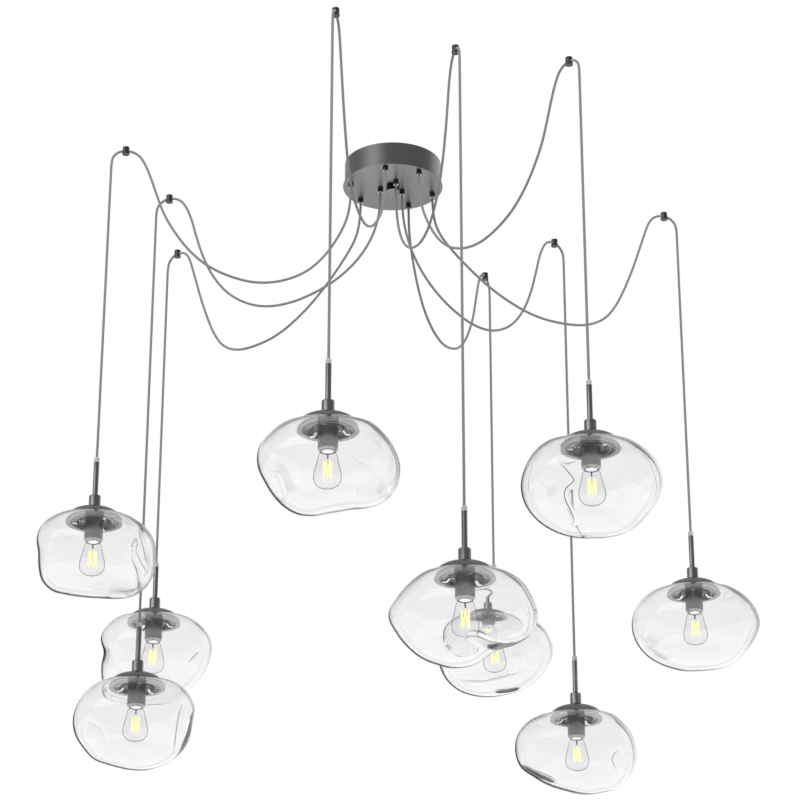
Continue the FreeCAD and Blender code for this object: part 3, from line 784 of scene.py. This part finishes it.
def knob_shape():
    """The turned centre knob with a groove above its rounded face."""
    top, bottom = -CANOPY_HEIGHT, -CANOPY_HEIGHT - KNOB_HEIGHT
    middle, slope, waist = top - 4.0, 0.3, KNOB_RADIUS - 0.6
    outline = [(0.0, bottom), (KNOB_RADIUS, bottom), (KNOB_RADIUS, middle - 2 * slope),
               (waist, middle - slope), (waist, middle + slope),
               (KNOB_RADIUS, middle + 2 * slope), (KNOB_RADIUS, top), (0.0, top)]
    return turned(outline, 0.9, 96)


def grip_shape():
    """A cord grip's collar under the canopy, its lower edge chamfered."""
    bore = CORD_RADIUS + 0.3
    top = -CANOPY_HEIGHT
    outline = [(bore, GRIP_FACE), (GRIP_OUTER_RADIUS - 1.6, GRIP_FACE),
               (GRIP_OUTER_RADIUS, GRIP_FACE + 1.8), (GRIP_OUTER_RADIUS, top),
               (bore, top)]
    return turned(outline, 0.5, 40, 3)


def grip_rim_shape():
    """The bright pressed ring round each grip's cord exit."""
    bore, low = CORD_RADIUS + 0.25, GRIP_FACE - 0.25
    outline = [(bore, low), (GRIP_OUTER_RADIUS - 1.5, low),
               (GRIP_OUTER_RADIUS - 0.6, low + 1.15), (GRIP_OUTER_RADIUS - 1.4, low + 1.55),
               (bore, low + 0.85)]
    return turned(outline, 0.3, 40, 3)


canopy = make_object("canopy_pan", *canopy_shape(), GRAPHITE)
stands_for(canopy, "canopy", "ceiling_set")

# The knob's sides take the near-black copy, a painted shade; its bottom face keeps the
# graphite.
knob = make_object("canopy_knob", *knob_shape(), GRAPHITE, second=KNOB_SIDE_PAINTED_SHADE,
                   chosen=lambda _, normal: normal.z > -0.7)
stands_for(knob, "centre_knob", "ceiling_set")

collars, rims = [], []
for _, place, azimuth, _ in pendants():
    at = (GRIP_RADIUS[place] * math.cos(azimuth), GRIP_RADIUS[place] * math.sin(azimuth))
    collars.append(placed(grip_shape(), at, 0.0))
    rims.append(placed(grip_rim_shape(), at, 0.0))
grips = make_object("cord_grip_collars", *joined(*collars), GRAPHITE_DARK)
grip_rims = make_object("cord_grip_rims", *joined(*rims), ZINC)
for piece in (grips, grip_rims):
    stands_for(piece, "cord_grips", "ceiling_set")

for name, finish in (("ceiling_hooks", GRAPHITE_DARK), ("mounting_strap", ZINC),
                     ("wire_connectors", CREAM)):
    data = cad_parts[name].data
    data.materials.clear()
    data.materials.append(finish)


# ---- Pendant metalwork -----------------------------------------------
def dome_outline(inset):
    """Points from the flat crown out to the rim of the cap, drawn in by an inset."""
    steps, spread = 16, CAP_RADIUS - inset - CAP_CROWN_RADIUS
    turns = [k / steps * math.pi / 2 for k in range(steps + 1)]
    return [(CAP_CROWN_RADIUS + spread * math.sin(turn),
             -CAP_RIM_DEPTH + (CAP_DOME - inset) * math.cos(turn)) for turn in turns]


def cap_shape():
    """The domed cap with its rolled rim and the flat flange that bears on the glass."""
    wide, low, wall = CAP_RADIUS, -CAP_RIM_DEPTH, CAP_THICKNESS
    flange = wide - CAP_FLANGE_WIDTH
    outline = [(0.0, -CROWN_DEPTH - wall)] + dome_outline(wall)[:-1]
    outline += [(wide - wall, low + wall), (flange, low + wall), (flange, low),
                (wide - 0.8, low), (wide - 0.2, low + 0.3), (wide, low + 0.9)]
    outline += dome_outline(0.0)[-2::-1] + [(0.0, -CROWN_DEPTH)]
    return revolved(outline, 96)


def ferrule_shape():
    """The clear strain relief with its soft ribs."""
    bore = CORD_RADIUS + 0.15
    rib, dip = 6.7, 6.1
    outline = [(bore, -FERRULE_LENGTH), (rib, -FERRULE_LENGTH), (rib, -8.6), (dip, -8.2),
               (dip, -7.2), (rib, -6.8), (rib, -4.6), (dip, -4.2), (dip, -3.2), (6.6, -2.8),
               (5.9, 0.0), (bore, 0.0)]
    return turned(outline, 0.4, 40, 3)


def coupling_shape():
    """The coupling with rounded shoulders and a fine groove above the dome."""
    foot, wide = -CROWN_DEPTH, 14.0
    waist = wide - 0.6
    outline = [(0.0, foot), (wide, foot), (wide, foot + 4.0), (waist, foot + 4.4),
               (waist, foot + 5.2), (wide, foot + 5.6), (wide, -COUPLING_TOP),
               (0.0, -COUPLING_TOP)]
    return turned(outline, 2.0, 64, 6)


def hub_shape():
    """The hub disc under the cap, with a raised ring near its edge."""
    foot = -HUB_DEPTH - HUB_THICKNESS
    ring = foot - 0.9
    outline = [(0.0, foot), (27.0, foot), (28.0, ring), (33.0, ring),
               (HUB_RADIUS, foot + 0.4), (HUB_RADIUS, -HUB_DEPTH), (0.0, -HUB_DEPTH)]
    return turned(outline, 0.4, 72, 3)


def tube_nipple_shape():
    """The threaded nipple between crown and hub, its thread as fine rings."""
    outline = [(0.0, -HUB_DEPTH)]
    depth, pitch, root, crest = -HUB_DEPTH, 1.0, 4.6, 5.0
    while depth < -CROWN_DEPTH - CAP_THICKNESS - pitch:
        outline += [(root, depth), (crest, depth + pitch / 2)]
        depth += pitch
    outline.append((0.0, depth))
    return revolved(outline, 32)


def gasket_shape():
    """The rubber ring inside the cap's flange."""
    outer = CAP_RADIUS - CAP_FLANGE_WIDTH - 0.05
    return sleeve(outer - 3.0, outer, -SEAT_DEPTH + 0.02, -SEAT_DEPTH + 2.4, 0.7, 96, 4)


def clips_shape():
    """Three spring clips that reach from the hub under the edge of the glass."""
    foot = -HUB_DEPTH - HUB_THICKNESS
    under = -SEAT_DEPTH - GLASS_WALL - 0.3
    bend, thick, reach = HOLE_RADIUS - 0.5, 0.8, 9.0
    side = [(HUB_RADIUS - reach, foot), (HUB_RADIUS, foot), (bend, under),
            (HOLE_RADIUS + reach, under), (HOLE_RADIUS + reach, under - thick),
            (bend - thick, under - thick), (HUB_RADIUS, foot - thick),
            (HUB_RADIUS - reach, foot - thick)]
    return ring_of("spring_clips", prism(side, 9.0), 3, AT_AXIS, NICKEL)


def cup_shape():
    """The socket cup: straight side, chamfered foot and turned-in mouth."""
    wall, top, low = 1.5, -CUP_DEPTH, -MOUTH_DEPTH
    outline = [(0.0, top - wall), (CUP_RADIUS - wall, top - wall),
               (CUP_RADIUS - wall, low + 6.5), (MOUTH_RADIUS, low),
               (MOUTH_RADIUS + wall, low),
               (CUP_RADIUS, low + 5.0), (CUP_RADIUS, top), (0.0, top)]
    return turned(outline, 0.6, 96)


def mouth_ring_shape():
    """The dark turned edge of the cup's mouth."""
    low = -MOUTH_DEPTH - 0.4
    outline = [(MOUTH_RADIUS, low), (MOUTH_RADIUS + 1.5, low),
               (MOUTH_RADIUS + 1.9, low + 1.0), (MOUTH_RADIUS, low + 1.2)]
    return turned(outline, 0.3, 72, 3)


def holder_shape():
    """The ceramic lampholder inside the cup."""
    top, low = -CUP_DEPTH - 1.6, -MOUTH_DEPTH + 7.0
    shoulder, end = low + 2.5, low + 22.0
    outline = [(0.0, top), (20.2, top), (20.2, low), (15.3, low), (14.3, shoulder),
               (HOLDER_BORE_RADIUS, shoulder), (HOLDER_BORE_RADIUS, end), (0.0, end)]
    return revolved(outline[::-1], 64)


def lamp_base_shape():
    """The lamp's screw shell: a rolled thread between plain ends."""
    foot = -MOUTH_DEPTH + 6.4
    outline = [(0.0, foot), (12.6, foot)]
    depth, pitch, root, crest = foot + 3.0, 2.7, 12.4, 13.0
    while depth < foot + 16.0:
        outline += [(root, depth), (crest, depth + 0.9), (crest, depth + 1.5)]
        depth += pitch
    outline += [(11.5, foot + 18.5), (5.0, foot + 20.8), (0.0, foot + 21.0)]
    return revolved(outline, 64)


def lamp_outline():
    """Half widths and depths of the lamp's glass, from its neck down to its tip."""
    knots = [(NECK_RADIUS, 0.0), (16.6, 3.2), (19.6, 7.4), (21.2, 13.0), (24.0, 27.0),
             (27.7, 42.0), (29.8, 52.0), (LAMP_RADIUS, 58.8), (29.0, 67.0), (25.4, 74.2),
             (18.6, 79.9), (9.0, 83.3), (0.0, LAMP_LENGTH)]
    return [(max(0.0, r), -MOUTH_DEPTH - down) for r, down in eased(knots, 5)]


def lamp_glass_shape():
    """The thin envelope as one closed skin."""
    neck = -MOUTH_DEPTH + 4.6
    return revolved(lamp_outline()[::-1] + [(NECK_RADIUS, neck), (0.0, neck)], 96)


def filament_shape():
    """The six slightly leaning filaments round the lamp's axis."""
    rod = sleeve(0.0, 1.6, -19.0, 19.0, 0.8, 12)
    ring = ring_of("filaments", rod, FILAMENTS, 8.6, FILAMENT, lean=math.radians(7.0))
    return lifted(ring, -MOUTH_DEPTH - 41.5)


def lamp_stem_shape():
    """The dark pinched stem above the filaments."""
    top, low = -MOUTH_DEPTH - 4.0, -MOUTH_DEPTH - 17.0
    outline = [(0.0, low), (1.4, low + 0.6), (1.9, low + 3.0), (1.6, low + 7.0),
               (2.0, low + 11.0), (1.2, top), (0.0, top)]
    return revolved(outline, 24)


def lamp_wires_shape():
    """The thin column and the wires that reach out from it to the filaments' ends."""
    reach, radius = 9.6, 0.28
    wire = revolved([(0.0, 0.0), (radius, 0.0), (radius, reach), (0.0, reach)], 8)
    level_wire = [(z, y, x) for x, y, z in wire[0]], [face[::-1] for face in wire[1]]
    ring = ring_of("lamp_wires", level_wire, FILAMENTS, AT_AXIS, NICKEL)
    low, high = -MOUTH_DEPTH - 61.0, -MOUTH_DEPTH - 16.0
    column = revolved([(0.0, low), (0.5, low), (0.5, high), (0.0, high)], 10)
    rings = [lifted(ring, -MOUTH_DEPTH - depth) for depth in (22.3, 60.7)]
    return joined(*rings, column)


FITTING_PIECES = [
    ("ferrule", ferrule_shape(), NYLON),
    ("stem", sleeve(0.0, 6.5, -COUPLING_TOP, -FERRULE_LENGTH, 0.5, 48), GRAPHITE),
    ("coupling", coupling_shape(), GRAPHITE),
    ("cap", cap_shape(), GRAPHITE),
    ("tube_nipple", tube_nipple_shape(), ZINC),
    ("hub", hub_shape(), GRAPHITE_DARK),
    ("gasket", gasket_shape(), RUBBER),
    ("spring_clips", clips_shape(), NICKEL),
]
# The liner is the white ceramic lip that shows in the cup's mouth, round the lamp's neck;
# it carries the painted glow.
LINER_LOW = -MOUTH_DEPTH + 1.6
SOCKET_PIECES = [
    ("socket_cup", cup_shape(), GRAPHITE),
    ("mouth_ring", mouth_ring_shape(), GRAPHITE_DARK),
    ("mouth_liner", sleeve(12.7, 14.8, LINER_LOW, LINER_LOW + 3.0, 0.5, 72), PAINTED_GLOW_WHITE),
    ("lampholder", holder_shape(), CERAMIC),
]
# The collar is the pale ring and plug that close the neck of the lamp; it carries the
# painted glow.
COLLAR_LOW = -MOUTH_DEPTH + 1.0
BULB_PIECES = [
    ("lamp_base", lamp_base_shape(), NICKEL),
    ("lamp_collar", sleeve(0.0, 12.3, COLLAR_LOW, COLLAR_LOW + 1.5, 0.4, 48),
     PAINTED_GLOW_WHITE),
    ("lamp_glass", lamp_glass_shape(), LAMP_GLASS),
    ("lamp_stem", lamp_stem_shape(), GRAPHITE_DARK),
    ("lamp_wires", lamp_wires_shape(), NICKEL),
    ("lamp_filaments", filament_shape(), FILAMENT),
]
for number, place, azimuth, axis in pendants():
    for pieces, node, body, slot in (
            (FITTING_PIECES, "fitting_%d", "pendant_%d", "graphite_metal"),
            (SOCKET_PIECES, "socket_%d", "pendant_%d", "graphite_metal"),
            (BULB_PIECES, "bulb_%d", "bulb_body_%d", "lamp_glass")):
        for name, shape, finish in pieces:
            second = chosen = None
            if name == "cap":
                rim = -FERRULE_DEPTH[place] - CAP_RIM_DEPTH
                second = CAP_UNDERSIDE_PAINTED_LIGHT

                # The cap's down-facing faces, and its inside near the rim, take the lighter
                # copy: painted light reflected from below.
                def chosen(centre, normal):
                    inside = math.dist(centre.xy, axis) < CAP_RADIUS - 12
                    return normal.z < -0.05 or inside and centre.z < rim + 2
            elif name == "socket_cup":
                second = CUP_CHAMFER_PAINTED_HIGHLIGHT

                # The cup's down-slanting faces take the lighter copy, a painted highlight.
                def chosen(_, normal):
                    return -0.95 < normal.z < -0.3
            piece = make_object("%s_%d" % (name, number),
                                *placed(shape, axis, FERRULE_DEPTH[place], azimuth),
                                finish, second=second, chosen=chosen)
            stands_for(piece, node % number, body % number)


# ---- Blown-glass shades ----------------------------------------------
SHADE_CENTRE_DEPTH = 246.0
SHADE_HALF_WIDTH = 155.0
SHADE_HALF_HEIGHT = 102.0
SEAT_POLAR = math.atan2(SEAT_RADIUS, SHADE_CENTRE_DEPTH - SEAT_DEPTH)
SHOULDER_POLAR = math.radians(55.0)
BRIM_RADIUS = 56.0
LIP_ROUNDING = 0.7
CREASE_REACH = 12.0
FAR_AWAY = 1e3

# Each glass's own outline: half widths in millimetres every 15 degrees round its centre,
# counterclockwise from the right, seen from the front and a little below.
SHADE_OUTLINES = {
    1: [160, 153, 141, 128, 118, 112, 109, 112, 118, 130, 143, 153, 157, 153, 144, 133, 124,
        119, 116, 119, 127, 136, 142, 151],
    2: [148, 143, 134, 127, 117, 111, 108, 110, 116, 127, 143, 154, 155, 148, 128, 116, 108,
        105, 108, 114, 122, 136, 145, 149],
    3: [152, 150, 142, 128, 117, 111, 108, 111, 118, 128, 140, 150, 152, 150, 146, 138, 128,
        120, 115, 114, 118, 124, 133, 143],
    4: [150, 152, 143, 131, 121, 114, 110, 112, 118, 129, 137, 139, 126, 135, 146, 150, 140,
        132, 129, 129, 129, 129, 136, 143],
    5: [138, 145, 141, 131, 120, 113, 110, 112, 119, 127, 136, 144, 150, 149, 142, 137, 126,
        121, 121, 124, 127, 132, 137, 138],
    6: [151, 149, 140, 128, 119, 113, 110, 112, 119, 128, 137, 136, 127, 129, 133, 127, 113,
        105, 103, 107, 119, 137, 149, 153],
    7: [154, 146, 137, 129, 118, 112, 109, 112, 118, 128, 138, 149, 148, 138, 132, 128, 122,
        112, 103, 102, 108, 126, 146, 154],
    8: [154, 146, 139, 127, 117, 111, 108, 111, 117, 126, 136, 149, 164, 153, 142, 133, 124,
        119, 113, 107, 101, 106, 128, 149],
    9: [155, 150, 139, 128, 118, 112, 110, 113, 121, 134, 144, 151, 157, 156, 149, 140, 132,
        126, 123, 126, 132, 137, 141, 150],
}
# Folds and dents blown into each glass: the side they are on (front or back), a line of
# points in that same front view, half width, depth (a negative one is a ridge) and how
# dark the painted shade line along the crease is.
SHADE_FOLDS = {
    1: [("front", [(-120, -30), (-95, -62), (-60, -84)], 13, 4.0, 0.0),
        ("back", [(70, 20), (95, -10), (100, -45)], 14, 4.0, 0.0)],
    2: [("front", [(106, 2), (92, -12), (88, -28), (97, -50)], 6, 4.0, 0.6),
        ("front", [(-140, -28), (-110, -48), (-79, -59), (-48, -76)], 8, 2.2, 0.6),
        ("back", [(-100, 20), (-70, 0), (-72, -30)], 15, 4.0, 0.0)],
    3: [("front", [(-103, -66), (-66, -73), (-28, -74), (36, -60), (79, -42)],
         6, 3.8, 0.45),
        ("front", [(-7, -100), (47, -95), (68, -87)], 5, 3.0, 0.7)],
    4: [("front", [(90, -24), (106, -6), (120, 10)], 5, 3.4, 0.6),
        ("front", [(-118, 20), (-112, -6), (-118, -34)], 10, 1.5, 0.4)],
    5: [("front", [(112, 44), (103, 10), (99, -25), (96, -75)], 5, 2.6, 0.65),
        ("front", [(138, 28), (129, -8), (123, -38), (108, -84)], 7, 4.6, 0.35),
        ("front", [(-119, -7), (-96, -16), (-80, -30), (-70, -65)], 8, 3.5, 0.15)],
    6: [("front", [(100, 52), (91, 22), (94, -6), (107, -36), (112, -60), (110, -84)],
         5.5, 3.4, 0.65),
        ("front", [(106, 74), (109, 52), (118, 25), (126, -4), (133, -34)], 5, 2.8, 0.6),
        ("front", [(97, 24), (104, 2), (120, -24), (133, -40)], 5, -2.2, 0.4)],
    7: [("front", [(-107, 15), (-84, -8), (-70, -35), (-61, -63)], 12, 6.0, 0.0),
        ("front", [(-116, -4), (-98, -31), (-84, -77)], 9, -4.0, 0.2),
        ("front", [(48, 26), (66, 8), (92, -3)], 7, 2.6, 0.15)],
    8: [("front", [(128, -58), (97, -66), (58, -62), (23, -49), (-8, -44)], 9, 4.0, 0.4),
        ("front", [(-46, -60), (-42, -68), (-30, -80)], 6, 2.5, 0.3)],
    9: [("front", [(-74, 58), (-68, 46), (-54, 28), (-40, 10), (-43, 1), (-57, -11),
                   (-61, -30), (-51, -56), (-43, -77), (-46, -88), (-62, -91)],
         3.6, 2.6, 0.95),
        ("back", [(60, 35), (90, 10), (95, -25)], 14, 4.0, 0.0)],
}


# The grid that every glass is made on: polar angle from the top, turn, direction, and how
# free each point is to leave the round seat.
AROUND = 200
DOWN = 120
POLAR = (SEAT_POLAR + (math.pi - SEAT_POLAR) * np.linspace(0, 1, DOWN))[:, None]
TURN = (np.arange(AROUND) * 2 * math.pi / AROUND)[None, :]
WAY = np.stack([np.sin(POLAR) * np.cos(TURN), np.sin(POLAR) * np.sin(TURN),
                np.cos(POLAR) * np.ones_like(TURN)], axis=2)
FREE = smooth((POLAR - SEAT_POLAR) / (SHOULDER_POLAR - SEAT_POLAR)) * np.ones_like(TURN)


def line_places(x, y, line):
    """Signed distance from each point to a line of points, and how far along it, 0 to 1."""
    line = np.array(line)
    runs = line[1:] - line[:-1]
    lengths = np.hypot(runs[:, 0], runs[:, 1])
    ways = runs / lengths[:, None]
    heading = np.concatenate([ways[:1], (ways[1:] + ways[:-1]) / 2, ways[-1:]])
    nearest, along = np.full(x.shape, 1e9), np.zeros(x.shape)
    for k, (start, run) in enumerate(zip(line[:-1], runs)):
        t = np.clip(((x - start[0]) * run[0] + (y - start[1]) * run[1]) / (run @ run), 0, 1)
        off_x, off_y = x - start[0] - t * run[0], y - start[1] - t * run[1]
        toward_x = heading[k, 0] * (1 - t) + heading[k + 1, 0] * t
        toward_y = heading[k, 1] * (1 - t) + heading[k + 1, 1] * t
        side = np.where(toward_x * off_y - toward_y * off_x < 0, -1, 1)
        distance = np.hypot(off_x, off_y)
        closer = distance < np.abs(nearest)
        nearest = np.where(closer, side * distance, nearest)
        share = (lengths[:k].sum() + t * lengths[k]) / lengths.sum()
        along = np.where(closer, share, along)
    return nearest, along


def grid_normals(points):
    """Outward unit normals of a grid that is closed round its second direction."""
    down = np.gradient(points, axis=0)
    across = (np.roll(points, -1, axis=1) - np.roll(points, 1, axis=1)) / 2
    normals = np.cross(down, across)
    length = np.linalg.norm(normals, axis=2, keepdims=True)
    normals = normals / np.maximum(length, 1e-9)
    normals[-1] = (0.0, 0.0, -1.0)
    return normals


def shade_form(number, view, right, above):
    """The glass's outside before its folds, as a grid of points round its centre."""
    wide, high = SHADE_HALF_WIDTH, SHADE_HALF_HEIGHT
    tall = math.hypot(high * math.hypot(view[0], view[1]), wide * view[2])
    reach = 1 / np.sqrt((WAY[..., 0] ** 2 + WAY[..., 1] ** 2) / wide ** 2
                        + WAY[..., 2] ** 2 / high ** 2)
    seat = math.hypot(SEAT_RADIUS, SHADE_CENTRE_DEPTH - SEAT_DEPTH)
    reach = reach * (seat / reach[0, 0] + (1 - seat / reach[0, 0]) * FREE)
    points = WAY * reach[..., None]
    x, y = points @ right, points @ above
    side = np.arctan2(y, x)
    plain = 1 / np.sqrt((np.cos(side) / wide) ** 2 + (np.sin(side) / tall) ** 2)
    outward = np.clip(np.hypot(x, y) / plain, 0, 1)
    gain = (around(SHADE_OUTLINES[number], side) / plain - 1) * outward ** 1.6 * FREE
    points = points + (gain * x)[..., None] * right + (gain * y)[..., None] * above
    waves = 4.0 * FREE * (1 - outward ** 2) * np.sin(3 * TURN + 1.7 * number)
    return points + (waves * np.sin(POLAR) ** 3)[..., None] * WAY


def shade_folds(number, points, view, right, above):
    """How deep the folds are at each point, and the crease attribute there."""
    x, y = points @ right, points @ above
    facing = -(grid_normals(points) @ view)
    fold = np.zeros_like(x)
    crease = np.zeros(x.shape + (3,))
    crease[..., 0] = FAR_AWAY
    for where, line, width, amount, crease_shade in SHADE_FOLDS[number]:
        toward = facing if where == "front" else -facing
        on_side = smooth((toward + 0.05) / 0.25) * FREE
        off_line, along = line_places(x, y, eased(line))
        taper = smooth(along / 0.25) * smooth((1 - along) / 0.25)
        fold += amount * on_side * (0.15 + 0.85 * taper) * np.exp(-(off_line / width) ** 2)
        strength = crease_shade * on_side * taper
        near = (np.abs(off_line) < CREASE_REACH) & (strength > 0)
        crease[near, 0], crease[near, 1] = off_line[near], strength[near]
    # How low each point is, which places the glass's painted light patches.
    crease[..., 2] = smooth((POLAR - 1.55) / 0.85)
    return fold, crease


def shade_mesh(number, place, axis):
    """The uneven glass as one closed shell: outside, lip of the hole, inside."""
    centre = np.array([axis[0], axis[1], -FERRULE_DEPTH[place] - SHADE_CENTRE_DEPTH])
    view = centre - np.array(CAMERA_PLACE)
    view /= np.linalg.norm(view)
    right = np.cross(view, (0.0, 0.0, 1.0))
    right /= np.linalg.norm(right)
    above = np.cross(right, view)
    points = shade_form(number, view, right, above)
    fold, crease = shade_folds(number, points, view, right, above)

    normals = grid_normals(points)
    uneven = 0.9 * np.sin(2 * TURN + number) * np.sin(POLAR) ** 2
    wall = GLASS_WALL + FREE * (1.6 * smooth(POLAR - 1.7) + uneven)
    outer = points - fold[..., None] * normals
    inner = points - (wall + 0.35 * fold)[..., None] * normals
    below = np.array((0, 0, -GLASS_WALL))
    inner[0] = outer[0] + below
    settle = smooth((POLAR - SEAT_POLAR) / math.radians(6.0))[..., None]
    inner = (outer + below) * (1 - settle) + inner * settle

    ring = WAY[0] / np.sin(SEAT_POLAR) * (1, 1, 0)
    lip_height = SHADE_CENTRE_DEPTH - SEAT_DEPTH
    eased_radius = HOLE_RADIUS + LIP_ROUNDING
    brim = [ring * radius + (0, 0, lip_height - drop) for radius, drop in (
        (BRIM_RADIUS, 0.0), (eased_radius, 0.0), (HOLE_RADIUS, LIP_ROUNDING),
        (HOLE_RADIUS, GLASS_WALL - LIP_ROUNDING), (eased_radius, GLASS_WALL),
        (BRIM_RADIUS, GLASS_WALL))]
    rows = list(outer[DOWN - 2::-1]) + brim + list(inner[:DOWN - 1])
    feet = [outer[-1].mean(axis=0), inner[-1].mean(axis=0)]
    verts = np.concatenate(rows + [feet]) + centre
    count = len(rows)
    lines = np.zeros((count * AROUND + 2, 3))
    lines[:, 0] = FAR_AWAY
    lines[:(DOWN - 1) * AROUND] = crease[DOWN - 2::-1].reshape(-1, 3)
    faces = []
    for k in range(count - 1):
        for j in range(AROUND):
            n = (j + 1) % AROUND
            faces.append([k * AROUND + j, k * AROUND + n, (k + 1) * AROUND + n,
                          (k + 1) * AROUND + j])
    first, last = count * AROUND, count * AROUND + 1
    for j in range(AROUND):
        n = (j + 1) % AROUND
        faces.append([first, n, j])
        faces.append([last, (count - 1) * AROUND + j, (count - 1) * AROUND + n])
    return verts, faces, lines


for number, place, _, axis in pendants():
    verts, faces, lines = shade_mesh(number, place, axis)
    glass = make_object("glass_shade_%d" % number, verts, faces, BLOWN_GLASS, 75.0)
    attribute = glass.data.attributes.new("crease", "FLOAT_VECTOR", "POINT")
    attribute.data.foreach_set("vector", lines.ravel())
    stands_for(glass, "shade_%d" % number, "pendant_%d" % number)


# ---- Floor, light and world ------------------------------------------
def pale_floor():
    """A wide pale floor, which metal and glass see as lit by itself."""
    s = material("pale_floor")
    grain = s.noise(3.0, 3.0)
    plain = s.principled(Base_Color=s.mix(grain, grey(0.78), grey(0.82)), Roughness=0.85)
    _, back, _ = s.split(s.object_point())
    # Brightness along the floor, from front to back, as the curved metal mirrors it.
    near = 0.40 + 1.05 * back.step(-3.0, 0.5)
    mirrored = near - 0.83 * back.step(7.5, 10.0) + 0.4 * back.step(13.0, 18.0)
    path = s.node("ShaderNodeLightPath")
    through = path.term("Is Transmission Ray")
    lit = s.lit(s.blend(through, mirrored, 1.3), 1.0)
    lift = s.lit((1, 1, 1, 1), 0.24)
    seen = s.node("ShaderNodeAddShader", {}, {0: plain, 1: lift}).out()
    direct = s.either(path.term("Is Camera Ray"), plain, seen)
    return s.surface(s.either(path.term("Is Glossy Ray").bigger_of(through), direct, lit))


FLOOR_DEPTH = 5200.0
FLOOR_REACH = 200000.0
floor = make_object("floor", [(x * FLOOR_REACH, y * FLOOR_REACH, -FLOOR_DEPTH)
                              for x, y in ((-1, -1), (1, -1), (1, 1), (-1, 1))],
                    [[0, 1, 2, 3]], pale_floor())


def studio_world():
    """White backdrop; soft boxes and darker flags that metal and glass reflect."""
    world = bpy.data.worlds.new("studio")
    bpy.context.scene.world = world
    s = Shader(world)
    way = s.node("ShaderNodeTexCoord").out("Generated")
    x, y, z = s.split(way)
    # What metal mirrors: a backdrop that darkens upwards and to the left, one bright soft
    # box at the front left, a dim ceiling and a dim room. Glass shows the backdrop alone,
    # darker upwards.
    low_back = 1.0 - 0.55 * z.step(0.46, 0.66)
    left_back = 1.0 - 0.50 * (-x).step(0.28, 0.45)
    behind = y.step(0.0, 0.40) * low_back * left_back
    box_side = (-0.74 * x - 0.67 * y).step(0.80, 0.84)
    box = box_side * z.step(0.05, 0.12) * (-z).step(-0.80, -0.74)
    left = (-x).step(0.3, 0.8)
    studio = (0.30 + 0.08 * left).bigger_of(behind).bigger_of(2.2 * box)
    studio = studio.bigger_of(0.5 * z.step(0.70, 0.86))
    soft = 0.62 + 0.30 * z
    path = s.node("ShaderNodeLightPath")
    level = soft
    for kind, seen in (("Is Glossy Ray", studio), ("Is Transmission Ray", low_back),
                       ("Is Camera Ray", 1.0)):
        level = s.blend(path.term(kind), level, seen)
    back = s.node("ShaderNodeBackground", {}, {"Color": level, "Strength": 1.0})
    s.node("ShaderNodeOutputWorld", {}, {"Surface": back.out()})


studio_world()
LIGHTS_AIM = Vector((0.0, 0.0, -0.8))
for name, spot, size, power in (("key_box", (-2.6, -3.2, 1.6), 2.6, 120.0),
                                ("fill_box", (3.4, -1.6, -0.6), 2.2, 45.0)):
    lamp = bpy.data.lights.new(name, "AREA")
    lamp.size = size
    lamp.energy = power
    light = linked(name, lamp)
    light.location = spot
    aim = LIGHTS_AIM - light.location
    light.rotation_euler = aim.to_track_quat("-Z", "Y").to_euler()
    light.visible_glossy = False
    light.visible_transmission = False

bpy.context.scene.view_settings.view_transform = "Standard"

bpy.context.view_layer.update()
